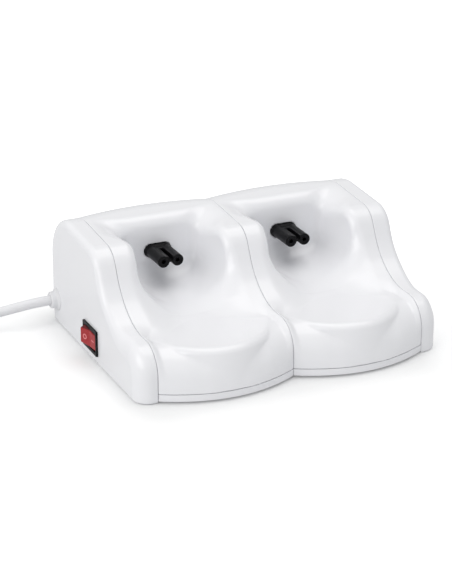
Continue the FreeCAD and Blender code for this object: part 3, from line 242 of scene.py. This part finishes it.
def moulding(name, field, axes):
    """A mesh whose skin lies where a distance field in mm is zero, one point per grid cell."""
    value = field(*np.meshgrid(*axes, indexing="ij"))
    solid = value < 0
    shape = [len(axis) - 1 for axis in axes]
    corners = np.zeros(shape, int)
    for shift in np.ndindex(2, 2, 2):
        corners += solid[tuple(slice(a, a + n) for a, n in zip(shift, shape))]
    mixed = (corners > 0) & (corners < 8)
    cells = np.argwhere(mixed)
    points = crossing_points(value, axes, cells)
    for _ in range(SETTLING_ROUNDS):
        lean = slope(field, points, SLOPE_REACH)
        steepness = np.maximum((lean**2).sum(1, keepdims=True), LEAST_SLOPE)
        push = field(*points.T)[:, None] * lean / steepness
        points -= np.clip(push, -LONGEST_PUSH, LONGEST_PUSH)
    number = np.full(shape, -1)
    number[mixed] = np.arange(len(cells))
    quads = skin_quads(solid, number)
    mesh = bpy.data.meshes.new(name)
    mesh.vertices.add(len(points))
    mesh.vertices.foreach_set("co", (points * MM).ravel())
    mesh.loops.add(quads.size)
    mesh.loops.foreach_set("vertex_index", quads.ravel())
    mesh.polygons.add(len(quads))
    mesh.polygons.foreach_set("loop_start", np.arange(0, quads.size, 4))
    mesh.update(calc_edges=True)
    mesh.validate()
    mesh.shade_smooth()
    lean = slope(field, points, NORMAL_REACH)
    lean /= np.linalg.norm(lean, axis=1, keepdims=True)
    mesh.normals_split_custom_set_from_vertices(lean)
    return mesh


def glossy_plastic(name, colour, polish, ripple, shine=0.5):
    """Moulded plastic: nearly even colour, faint flow marks and a skin that ripples a little."""
    material = bpy.data.materials.new(name)
    tree, add = shader_tree(material)
    place = add("TexCoord").outputs["Object"]
    flow = add("TexNoise", Vector=place, Scale=9, Detail=3)
    shade = add("ValToRGB", Fac=flow.outputs["Fac"])
    shade.color_ramp.elements[0].color = (*(0.985 * c for c in colour), 1)
    shade.color_ramp.elements[1].color = (*colour, 1)
    wear = add("TexNoise", Vector=place, Scale=60, Detail=5)
    rough = add("MapRange", Value=wear.outputs["Fac"], To_Min=polish * 0.85, To_Max=polish * 1.2)
    skin = add("TexNoise", Vector=place, Scale=900, Detail=2)
    bump = add("Bump", Strength=ripple, Distance=0.00005, Height=skin.outputs["Fac"])
    body = add(
        "BsdfPrincipled",
        Base_Color=shade.outputs["Color"],
        Roughness=rough.outputs[0],
        Normal=bump.outputs[0],
        Specular_IOR_Level=shine,
        IOR=1.53,
    )
    add("OutputMaterial", Surface=body.outputs[0])
    return material


white_abs = glossy_plastic("white_abs", (0.925, 0.93, 0.958), 0.2, 0.05)

STATION_WIDTH, SEAM_GAP = 81.0, 0.12
HALF = STATION_WIDTH / 2 - SEAM_GAP
FRONT, REAR, FRONT_BOW, REAR_BOW = 65.3, 71.5, 11.5, 5.0
RAIL, PLATFORM, LAND = 30.8, 28.5, -43.0
SHOULDER, REAR_ROUND = 15.8, 30
SWEEP, TURN, SLOPE, BROW, RISE = 39.0, math.radians(63), 7.6, 15.0, math.radians(3.5)
SWEEP_END = LAND + SWEEP * math.sin(TURN)
SLOPE_END = SWEEP_END + SLOPE * math.cos(TURN)
BROW_Y = SLOPE_END + BROW * math.sin(TURN)
SLOPE_FOOT = RAIL + SWEEP * (1 - math.cos(TURN))
BROW_Z = SLOPE_FOOT + SLOPE * math.sin(TURN) - BROW * math.cos(TURN)
CROWN_START = BROW_Y - BROW * math.sin(RISE)


def crown_height(y):
    """Height of the crown, which rises a little to the rear."""
    return BROW_Z + BROW * math.cos(RISE) + math.tan(RISE) * (y - CROWN_START)


def top_of_casing(y, z):
    """Distance above the casing's top line: land, hollow sweep, short slope, brow, crown."""
    in_sweep = np.clip(y, LAND, SWEEP_END) - LAND
    sweep_root = np.sqrt(SWEEP**2 - in_sweep**2)
    in_brow = np.clip(y, SLOPE_END, CROWN_START) - BROW_Y
    brow_root = np.sqrt(BROW**2 - in_brow**2)
    height = RAIL + SWEEP - sweep_root
    rise = in_sweep / sweep_root
    on_slope = y > SWEEP_END
    height = np.where(on_slope, SLOPE_FOOT + (y - SWEEP_END) * math.tan(TURN), height)
    rise = np.where(on_slope, math.tan(TURN), rise)
    on_brow = y > SLOPE_END
    height = np.where(on_brow, BROW_Z + brow_root, height)
    rise = np.where(on_brow, -in_brow / brow_root, rise)
    on_crown = y > CROWN_START
    height = np.where(on_crown, crown_height(y), height)
    rise = np.where(on_crown, math.tan(RISE), rise)
    return (z - height) / np.sqrt(1 + rise**2)


def casing(y, z, bow, lowered, shoulder):
    """Distance field of the casing's outline, bowed out by a share of its full bulge."""
    z = z + lowered
    front = meet(-y - FRONT - FRONT_BOW * bow, z - RAIL, shoulder)
    rear = meet(top_of_casing(y, z), y - REAR - REAR_BOW * bow, REAR_ROUND)
    return np.where(y < LAND, front, rear)


# A range is the stretch of Y, or of -Y towards the front, over which a form comes in.
RIDGE_X, RIDGE_TOP_X, RIDGE_SHIFT, APRON = 22, STATION_WIDTH / 2, 14, (24, 44)
FAR_SHOULDER, FAR_REACH, MIDDLE_SHOULDER, MIDDLE_BOW = 5, 8, 4, 0.6
DOCK, DOCK_TAPER, DOCK_BACK, DOCK_CORNER, DOCK_FLOOR_FILLET = 26.7, 0.1, 32.3, 4.0, 12.0
MOUTH, MOUTH_RANGE, LEAN, LEAN_RANGE = 7, (2, 34), 0.2, (-5, 28)
FLOOR_RISE, FLOOR_START, FLOOR_RUN, RAMP_RANGE = 5.5, -21, 54.5, (10, 34)
MOUTH_FILLET, FILLET_RANGE = 18, (-24, 22)
RIM, FRONT_RIM, FRONT_RIM_RANGE, REAR_RIM, REAR_RIM_RANGE = 4.5, 2.5, (-6, 22), 2, (12, 30)
CORNER_RIM, CORNER_RANGE, CORNER_BLEND = 7, (2, 24), 8
DISC, DISC_Y, LIP, LIP_SQUASH = 40.0, -31.3, 3.2, 0.96
FLARE, MIDDLE_FLARE, FLARE_CURVE, FLARE_DEPTH, FLARE_BOW = 0.2, 0.2, 0.0072, 24, 0.75
CREASE, SOFT_CREASE, CREASE_DEPTHS, CREASE_X = 0.5, 3, (2, 13), (4, 16)


def mitre(one, other, width):
    """Larger of two fields, with their common edge softened by one width at every distance."""
    return np.maximum(one, other) + np.maximum(width - np.abs(one - other), 0) ** 2 / (4 * width)


def dock_space(across, y, z, lift):
    """The space of a dock and of its mouth, and the radius of its rim, widest in the corners."""
    half = DOCK - DOCK_TAPER * y + MOUTH * ease(-y, *MOUTH_RANGE)
    side = (across - half) * (1 - LEAN * ease(y, *LEAN_RANGE))
    back = y - DOCK_BACK
    rise = FLOOR_RISE * np.clip((y - FLOOR_START) / FLOOR_RUN, 0, 2)
    floor = PLATFORM + rise + lift * ease(-y, *RAMP_RANGE)
    fillet = DOCK_FLOOR_FILLET + MOUTH_FILLET * ease(-y, *FILLET_RANGE)
    space = meet(mitre(side, back, DOCK_CORNER), floor - z, fillet)
    rim = RIM + FRONT_RIM * ease(-y, *FRONT_RIM_RANGE) + REAR_RIM * ease(y, *REAR_RIM_RANGE)
    rim += CORNER_RIM * ease(y, *CORNER_RANGE) * ease(side - back, -CORNER_BLEND, CORNER_BLEND)
    return space, rim


def below_lip(x, y, z, bow):
    """The round platform with the skirt that flares out below its lip, and its crease's width."""
    depth = np.clip(PLATFORM - z, 0, FLARE_DEPTH)
    middle = ease(bow, FLARE_BOW, 1)
    flare = (FLARE + MIDDLE_FLARE * middle) * depth - FLARE_CURVE * middle * depth**2
    around = np.hypot(x, y - DISC_Y) - DISC - flare
    skirt = meet(around * LIP_SQUASH, z - PLATFORM, LIP)
    return skirt, CREASE + SOFT_CREASE * ease(depth, *CREASE_DEPTHS) * ease(np.abs(x), *CREASE_X)


def station_skin(x, y, z):
    """Distance field of a station without its ends, foot and hollow, about its own middle."""
    across = np.abs(x)
    bow = 1 - (x / HALF) ** 2
    apron = ease(-y, *APRON)
    lift = (RAIL - PLATFORM) * ease(across, RIDGE_X + RIDGE_SHIFT * apron, RIDGE_TOP_X)
    lowered = (RAIL - PLATFORM - lift) * apron
    away = 1 - np.exp((across - HALF) / FAR_REACH)
    shoulder = SHOULDER + FAR_SHOULDER * away + MIDDLE_SHOULDER * ease(bow, MIDDLE_BOW, 1)
    dock, rim = dock_space(across, y, z, lift)
    body = meet(casing(y, z, bow, lowered, shoulder), -dock, rim)
    skirt, crease = below_lip(x, y, z, bow)
    return -mitre(-body, -skirt, crease)


SHELL_WALL, SHELL_FOOT, SEAM_EDGE, FOOT_EDGE = 2.4, 5.6, 0.35, 0.3
BOSS, BOSS_X, BOSS_FRONT, BOSS_REAR, BOSS_SINK = 3.5, 30.0, -45.0, 49.0, 1
PLUG_Z, PLUG_HOLE, PLUG_HOLE_X, PLUG_HOLE_REACH = 48.5, 4.05, 4.35, 10


def station_shell(x, y, z):
    """The skin closed by its ends and foot, hollow inside, with the opening for the plug."""
    skin = station_skin(x, y, z)
    shell = meet(meet(skin, np.abs(x) - HALF, SEAM_EDGE), SHELL_FOOT - z, FOOT_EDGE)
    shell = np.maximum(shell, -skin - SHELL_WALL)
    boss = np.hypot(np.abs(x) - BOSS_X, np.where(y < 0, y - BOSS_FRONT, y - BOSS_REAR)) - BOSS
    shell = np.minimum(shell, np.maximum(np.maximum(boss, skin + BOSS_SINK), SHELL_FOOT - z))
    opening = np.hypot(np.maximum(np.abs(x) - PLUG_HOLE_X, 0), z - PLUG_Z) - PLUG_HOLE
    return np.maximum(shell, -np.maximum(opening, np.abs(y - DOCK_BACK) - PLUG_HOLE_REACH))


FINE, COARSE = 0.2, 0.8
grid = (
    steps((-40.8, -39.6, FINE), (-39.6, 39.6, COARSE), (39.6, 40.8, FINE)),
    steps((-77.6, 77.6, COARSE)),
    steps((4.8, 6.4, FINE), (6.4, 70.4, COARSE)),
)
shell_mesh = moulding("station_shell", station_shell, grid)
shell_mesh.materials.append(white_abs)
STATIONS = (("left", -STATION_WIDTH / 2), ("right", STATION_WIDTH / 2))
for side, centre in STATIONS:
    shell = bpy.data.objects.new("shell_" + side, shell_mesh.copy())
    scene.collection.objects.link(shell)
    shell.data.transform(Matrix.Translation((centre * MM, 0, 0)))
    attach(shell, "casing")
    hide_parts("station_shell_" + side)

# ---------------------------------------------------------------- end caps
# Hollow white ABS caps, 12 mm thick, that close the row at each end. Their faces swell a little
# and their outer edges are rounded, most of all low at the front.
CAP_THICKNESS, CAP_FOOT, CAP_WALL, CAP_FLOOR = 12.0, 0.2, 3.2, 4.0
CAP_SEAM, CAP_FACE = STATION_WIDTH + SEAM_GAP, STATION_WIDTH + CAP_THICKNESS
CAP_EDGE, CAP_FOOT_EDGE, NOSE_EDGE, NOSE_RANGE, NOSE_TOP = 4.0, 1.4, 5, (10, 45), (22, 40)
TALL_SWELL, TALL_MIDDLE, TALL_REACH, LONG_SWELL, LONG_REACH = 0.2, 28, 40, 0.3, 75
SWITCH_Y, SWITCH_Z, WINDOW_Y, WINDOW_Z = 4.7, 13.2, 9.6, 6.5
CORD_Y, CORD_Z, BUSH_HOLE, HOLES_FROM = 62.5, 15.0, 4.5, -88


def cap_skin(x, y, z):
    """Distance field of the right cap's outside without its foot and seam."""
    body = casing(y, z, 0, 0, SHOULDER)
    swell = TALL_SWELL * ((z - TALL_MIDDLE) / TALL_REACH) ** 2 + LONG_SWELL * (y / LONG_REACH) ** 2
    edge = CAP_EDGE + NOSE_EDGE * ease(-y, *NOSE_RANGE) * (1 - ease(z, *NOSE_TOP))
    return meet(body, x - CAP_FACE + swell, edge)


def cap_shell(x, y, z):
    """The right cap, closed by its foot, open at its seam and hollow inside."""
    skin = cap_skin(x, y, z)
    shell = meet(meet(skin, CAP_FOOT - z, CAP_FOOT_EDGE), CAP_SEAM - x, SEAM_EDGE)
    hollow = np.maximum(skin + CAP_WALL, CAP_FLOOR - z)
    return np.maximum(shell, -hollow)


def left_cap_shell(x, y, z):
    """The mirrored cap with the switch's cut-out and the hole for the cord's bush."""
    shell = cap_shell(-x, y, z)
    window = np.maximum(np.abs(y - SWITCH_Y) - WINDOW_Y, np.abs(z - SWITCH_Z) - WINDOW_Z)
    bush = np.hypot(y - CORD_Y, z - CORD_Z) - BUSH_HOLE
    return np.maximum(shell, -np.maximum(np.minimum(window, bush), x - HOLES_FROM))


rows = (steps((-72.4, 72.4, 0.7)), steps((0.2, 2.0, 0.3), (2.0, 70.4, 0.7)))
caps = {
    "right": (cap_shell, steps((80.7, 81.9, 0.2), (81.9, 93.8, 0.7))),
    "left": (left_cap_shell, steps((-93.8, -81.9, 0.7), (-81.9, -80.7, 0.2))),
}
for side, (field, across) in caps.items():
    cap_mesh = moulding("cap_" + side, field, (across, *rows))
    cap_mesh.materials.append(white_abs)
    cap = bpy.data.objects.new("cap_" + side, cap_mesh)
    scene.collection.objects.link(cap)
    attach(cap, "casing")
    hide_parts("end_cap_" + side)

# ---------------------------------------------------------------- base pans and feet
# White ABS trays that close the stations from below, screwed into the shells. Each stands on
# four glued rubber feet. Their moulded edges are a little rounded.


def dress(name, material, edge=0.0):
    """Gives a CAD node its material and, where edge is set, rounds its sharp edges by that in mm."""
    node = nodes[name]
    for slot in node.material_slots:
        slot.material = material
    if edge:
        bevel = node.modifiers.new("soft_edges", "BEVEL")
        bevel.width = edge * MM
        bevel.segments = 3
        bevel.limit_method = "ANGLE"
        bevel.angle_limit = math.radians(40)
        bevel.harden_normals = True


grey_rubber = glossy_plastic("grey_rubber", (0.09, 0.09, 0.092), 0.75, 0.6)
for side in ("left", "right"):
    dress("base_pan_" + side, white_abs, 0.45)
    dress("rubber_feet_" + side, grey_rubber, 0.3)

# ---------------------------------------------------------------- dock plugs
# One black glass-filled nylon connector per dock, pushed through the back wall and held behind
# it: two round barrels joined by a grooved web, each with a hole for a pin of the wax heater.
BARREL, BARREL_X, WEB_TOP, WEB_FOOT, WEB_BLEND = 3.5, 4.3, 3.0, 0.6, 0.3
GROOVE, GROOVE_FLOOR, GROOVE_END, GROOVE_EDGE = 1.3, 0.2, 26.8, 0.35
TIP, COLLAR_Y, COLLAR_X, COLLAR, COLLAR_EDGE, COLLAR_BLEND = 12.2, 30.3, 4.3, 3.9, 1, 0.8
FLANGE_X, FLANGE_Z, FLANGE_Y, FLANGE_CORNER, PLUG_END, PLUG_EDGE = 10, 6, 36.2, 1.5, 49.9, 0.5
HOLE, HOLE_DEPTH, HOLE_RIM, RIM_DEPTH, HOLE_EDGE = 1.25, 11, 2.2, 0.35, 0.12


def dock_plug(x, y, z):
    """Distance field of a dock plug about its own middle line."""
    across = np.abs(x)
    around = np.hypot(across - BARREL_X, z)
    web = np.maximum(across - BARREL_X, np.maximum(z - WEB_TOP, -z - WEB_FOOT))
    groove = np.maximum(np.maximum(across - GROOVE, GROOVE_FLOOR - z), y - GROOVE_END)
    front = meet(join(around - BARREL, web, WEB_BLEND), -groove, GROOVE_EDGE)
    front = meet(front, TIP - y, PLUG_EDGE)
    collar = np.hypot(np.maximum(across - COLLAR_X, 0), z) - COLLAR
    collar = meet(collar, COLLAR_Y - y, COLLAR_EDGE)
    flange = meet(across - FLANGE_X, np.abs(z) - FLANGE_Z, FLANGE_CORNER)
    flange = meet(flange, FLANGE_Y - y, PLUG_EDGE)
    body = np.minimum(join(front, collar, COLLAR_BLEND), flange)
    body = meet(body, y - PLUG_END, PLUG_EDGE)
    seat = np.maximum(around - HOLE_RIM, y - TIP - RIM_DEPTH)
    hole = np.maximum(around - HOLE, y - TIP - HOLE_DEPTH)
    return meet(body, -np.minimum(seat, hole), HOLE_EDGE)


black_nylon = glossy_plastic("black_nylon", (0.004, 0.004, 0.005), 0.36, 0.35, 0.12)
grid = (steps((-10.6, 10.6, 0.3)), steps((11.8, 16, 0.2), (16, 50.4, 0.5)), steps((-6.5, 6.5, 0.3)))
plug_mesh = moulding("dock_plug", dock_plug, grid)
plug_mesh.materials.append(black_nylon)
for side, centre in STATIONS:
    plug = bpy.data.objects.new("connector_" + side, plug_mesh.copy())
    scene.collection.objects.link(plug)
    plug.data.transform(Matrix.Translation((centre * MM, 0, PLUG_Z * MM)))
    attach(plug, "casing")
    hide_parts("dock_plug_" + side)
    dress("plug_retainer_" + side, black_nylon, 0.3)

# ---------------------------------------------------------------- switch
# A small illuminated panel switch: a black nylon frame and a translucent red rocker that turns
# about a pin, with O and a bar printed on its two faces.
dress("switch_housing", black_nylon, 0.45)
PIVOT_SUNK = 2.9
PIVOT = Vector((PIVOT_SUNK - CAP_FACE, SWITCH_Y, SWITCH_Z))
TILT = math.radians(10)
ROCKER, ROCKER_END, ROCKER_HEIGHT = 8.9, 8.2, 11.0
CREST, VALLEY, ROCKER_BACK, ROCKER_DRAFT, ROCKER_EDGE = 5.5, 4.3, 3.0, 0.42, 0.5
WING = math.atan((CREST - VALLEY) / ROCKER_END)


def rocker_form(out, along, z):
    """Distance field of the rocker about its pin: out of the frame, along it and up."""
    face = (out - VALLEY) * math.cos(WING) - np.abs(along) * math.sin(WING)
    end = np.maximum(np.abs(along) - ROCKER_END, ROCKER_BACK - out)
    end = np.minimum(np.hypot(out, along) - ROCKER, end)
    side = np.abs(z) - ROCKER_HEIGHT / 2 + ROCKER_DRAFT * np.maximum(out - ROCKER_BACK, 0)
    form = meet(meet(face, end, ROCKER_EDGE), side, ROCKER_EDGE)
    return np.maximum(form, -out - ROCKER_BACK)


def rocker_place(mesh):
    """Turns a mesh made about the pin, outward along X, to the rocker's place at rest."""
    mesh.transform(Matrix.Translation(PIVOT * MM) @ Matrix.Rotation(math.pi + TILT, 4, "Z"))


def lens_plastic(name, dark, light, polish, clear):
    """Tinted acrylic with a faint mottle that lets some light through."""
    material = bpy.data.materials.new(name)
    tree, add = shader_tree(material)
    place = add("TexCoord").outputs["Object"]
    flow = add("TexNoise", Vector=place, Scale=260, Detail=3)
    tint = add("ValToRGB", Fac=flow.outputs["Fac"])
    tint.color_ramp.elements[0].color = (*dark, 1)
    tint.color_ramp.elements[1].color = (*light, 1)
    skin = add("TexNoise", Vector=place, Scale=900, Detail=2)
    bump = add("Bump", Strength=0.06, Distance=0.00005, Height=skin.outputs["Fac"])
    body = add(
        "BsdfPrincipled",
        Base_Color=tint.outputs["Color"],
        Roughness=polish,
        Normal=bump.outputs[0],
        Transmission_Weight=clear,
        IOR=1.5,
    )
    add("OutputMaterial", Surface=body.outputs[0])
    return material


frosted_red = lens_plastic("red_lens", (0.38, 0.006, 0.01), (0.5, 0.014, 0.02), 0.42, 0.1)
# A darker copy of the red lens for the rocker's top and bottom faces: painted shade.
shaded_red = lens_plastic("red_lens_painted_shade", (0.11, 0, 0.001), (0.18, 0.001, 0.003), 0.5, 0.1)
SHADED_FACING = 0.7
grid = (steps((-3.6, 7, 0.25)), steps((-9.4, 9.4, 0.25)), steps((-6, 6, 0.25)))
rocker_mesh = moulding("rocker", rocker_form, grid)
rocker_mesh.materials.append(frosted_red)
rocker_mesh.materials.append(shaded_red)
# Faces that face up or down take the darker red copy, a painted shade on those sides.
for polygon in rocker_mesh.polygons:
    polygon.material_index = abs(polygon.normal.z) > SHADED_FACING
rocker_place(rocker_mesh)
rocker = bpy.data.objects.new("rocker_lens", rocker_mesh)
scene.collection.objects.link(rocker)
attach(rocker, "rocker")
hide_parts("switch_rocker")

MARK_RING, MARK_BAR, MARK_STROKE, MARK_OFF, MARK_PRINT = 1.3, 3.4, 0.34, 4.2, 0.06


def mark_form(out, along, z):
    """Distance field of both printed marks, a ring on the rear face and a bar on the front one."""
    face = (out - VALLEY) * math.cos(WING) - np.abs(along) * math.sin(WING)
    ring = np.abs(np.hypot(along + MARK_OFF, z) - MARK_RING) - MARK_STROKE
    bar = np.maximum(np.abs(along - MARK_OFF) - MARK_BAR / 2, np.abs(z) - MARK_STROKE)
    return np.maximum(np.where(along < 0, ring, bar), np.abs(face) - MARK_PRINT)


mark_paint = glossy_plastic("mark_paint", (0.85, 0.27, 0.28), 0.35, 0.1)
grid = (steps((4.3, 5.6, 0.05)), steps((-7, 7, 0.1)), steps((-2, 2, 0.1)))
mark_mesh = moulding("rocker_marks", mark_form, grid)
mark_mesh.materials.append(mark_paint)
rocker_place(mark_mesh)
marks = bpy.data.objects.new("rocker_marks", mark_mesh)
scene.collection.objects.link(marks)
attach(marks, "rocker")

# ---------------------------------------------------------------- mains cord
# A round white PVC cord, 6 mm thick and about 1.5 m long. It leaves the left end cap, drops
# to the table and is put away in a flat coil of two layers with its plug beside it.
CORD = 6.0
EXIT_RUN = [
    (-94, 62.5, 15),
    (-105, 62.5, 15),
    (-115.5, 63.3, 13.7),
    (-126, 66, 11.3),
    (-135.5, 70.2, 8.6),
    (-144.5, 75.2, 6.2),
]
PLUG_RUN = [(-223.9, 20.6, 8.3), (-221.3, 12.9, 7.6), (-219.5, 3.7, 6.85), (-219.5, -5.3, 6.85)]
COIL_CENTRE, COIL_REACH, COIL_PITCH = Vector((-185.4, 49)), 44.2, 6.2
COIL_START, COIL_END, ROUNDS, COIL_POINTS = math.radians(40), math.radians(190), 6, 100
LOWER_LAYER, UPPER_LAYER, CLIMB = CORD / 2 + 0.1, 1.5 * CORD + 0.3, (0.47, 0.53)


def coil_points():
    """The coil from its outside to its middle on the table, then out again on top."""
    turn = 2 * math.pi * ROUNDS + COIL_END - COIL_START
    for step in range(COIL_POINTS + 1):
        share = step / COIL_POINTS
        angle = COIL_START + share * turn
        reach = COIL_REACH - COIL_PITCH * min(share, 1 - share) * turn / (2 * math.pi)
        height = LOWER_LAYER + (UPPER_LAYER - LOWER_LAYER) * ease(share, *CLIMB)
        x = COIL_CENTRE.x + reach * math.cos(angle)
        y = COIL_CENTRE.y + reach * math.sin(angle)
        yield x, y, height


soft_pvc = glossy_plastic("soft_pvc", (0.84, 0.845, 0.866), 0.38, 0.25)
route = EXIT_RUN + list(coil_points()) + PLUG_RUN
line = bpy.data.curves.new("mains_cord_line", "CURVE")
line.dimensions = "3D"
spline = line.splines.new("NURBS")
spline.points.add(len(route) - 1)
for point, (x, y, z) in zip(spline.points, route):
    point.co = (x * MM, y * MM, z * MM, 1)
    point.radius = CORD / 2 * MM
spline.order_u = 3
spline.use_endpoint_u = True
spline.resolution_u = 6
line.bevel_depth = 1.0
line.bevel_resolution = 5
line.use_fill_caps = True
line.materials.append(soft_pvc)
flex = bpy.data.objects.new("mains_flex", line)
scene.collection.objects.link(flex)
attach(flex, "casing")
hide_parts("mains_cord", "cord_coil", "mains_cord_plug_end")
dress("cord_tail", soft_pvc)
dress("mains_plug", soft_pvc, 0.6)

# ---------------------------------------------------------------- cord bush
# A white bush of soft PVC, moulded on the cord where it leaves the left end cap. Its neck snaps
# into the cap and its skirt flares against the cap's face.
BUSH_END, BUSH_BACK, BUSH, BUSH_TAPER, BUSH_EDGE, NECK = 97.3, 88.0, 5.25, 0.08, 0.8, 4.4
SKIRT, SKIRT_SPREAD, SKIRT_TALL, SKIRT_SINK, SKIRT_BLEND = 5.2, 1.6, 1.2, 0.3, 0.4
BORE_PLAY, BORE_EDGE = 0.05, 0.3


def bush_form(x, y, z):
    """Distance field of the bush about the cord's line, outward along -X."""
    out = -x - CAP_FACE
    around = np.hypot(y, z)
    sleeve = meet(around - BUSH + BUSH_TAPER * out, -x - BUSH_END, BUSH_EDGE)
    skirt = around - SKIRT - SKIRT_SPREAD * (1 - ease(out, 0, SKIRT_TALL))
    skirt = np.maximum(np.maximum(skirt, out - SKIRT_TALL), -out - SKIRT_SINK)
    neck = np.maximum(np.where(out < 0, around - NECK, sleeve), x + BUSH_BACK)
    form = join(np.maximum(neck, -x - BUSH_END), skirt, SKIRT_BLEND)
    return meet(form, -(around - CORD / 2 - BORE_PLAY), BORE_EDGE)


grid = (steps((-97.8, -87.6, 0.25)), steps((-7.2, 7.2, 0.3)), steps((-7.2, 7.2, 0.3)))
bush_mesh = moulding("cord_bush", bush_form, grid)
bush_mesh.materials.append(soft_pvc)
bush_mesh.transform(Matrix.Translation((0, CORD_Y * MM, CORD_Z * MM)))
bush = bpy.data.objects.new("cord_bush", bush_mesh)
scene.collection.objects.link(bush)
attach(bush, "casing")
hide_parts("cord_gland")

# ---------------------------------------------------------------- metal, wiring and small parts
# Brass contacts and terminals, zinc-plated screws and straps, nickel-plated plug pins, a nylon
# terminal block, clamp and plunger, a neon lamp, and silicone leads, blue for neutral and brown
# for live.


def metal(name, colour, polish):
    """Plated or bare metal with fine drawn lines and small changes of polish."""
    material = bpy.data.materials.new(name)
    tree, add = shader_tree(material)
    place = add("TexCoord").outputs["Object"]
    stain = add("TexNoise", Vector=place, Scale=180, Detail=4)
    shade = add("ValToRGB", Fac=stain.outputs["Fac"])
    shade.color_ramp.elements[0].color = (*(0.82 * c for c in colour), 1)
    shade.color_ramp.elements[1].color = (*colour, 1)
    lines = add("TexNoise", Vector=place, Scale=1400, Detail=2)
    rough = add("MapRange", Value=lines.outputs["Fac"], To_Min=polish * 0.7, To_Max=polish * 1.3)
    bump = add("Bump", Strength=0.15, Distance=0.00004, Height=lines.outputs["Fac"])
    body = add(
        "BsdfPrincipled",
        Base_Color=shade.outputs["Color"],
        Metallic=1,
        Roughness=rough.outputs[0],
        Normal=bump.outputs[0],
    )
    add("OutputMaterial", Surface=body.outputs[0])
    return material


brass = metal("bright_brass", (0.78, 0.57, 0.26), 0.3)
zinc = metal("zinc_plate", (0.62, 0.63, 0.65), 0.34)
spring = metal("spring_wire", (0.5, 0.5, 0.51), 0.26)
nickel = metal("nickel_plate", (0.74, 0.72, 0.68), 0.16)
brown = glossy_plastic("lead_brown", (0.13, 0.045, 0.018), 0.42, 0.3)
blue = glossy_plastic("lead_blue", (0.02, 0.09, 0.42), 0.42, 0.3)
nylon = glossy_plastic("natural_nylon", (0.74, 0.71, 0.62), 0.45, 0.3)
neon = glossy_plastic("lamp_glass", (0.75, 0.35, 0.16), 0.08, 0.02)
for name in ("plug_contacts_left", "plug_contacts_right", "switch_contact_lever"):
    dress(name, brass)
for name in ("switch_terminals", "terminal_screws"):
    dress(name, brass, 0.1)
for name in ("case_screws_left", "case_screws_right", "cord_clamp_screws", "retainer_screws"):
    dress(name, zinc, 0.15)
dress("plug_pins", nickel, 0.4)
for name in ("seam_strap_front", "seam_strap_rear"):
    dress(name, zinc, 0.2)
dress("switch_spring", spring)
dress("switch_plunger", nylon, 0.2)
dress("terminal_block", nylon, 0.3)
dress("cord_clamp", nylon, 0.3)
dress("switch_lamp", neon)
for name in ("lead_live_in", "lead_live_left", "lead_live_right", "lead_live_switched"):
    dress(name, brown)
for name in ("lead_neutral_in", "lead_neutral_left", "lead_neutral_right", "lead_lamp_neutral"):
    dress(name, blue)
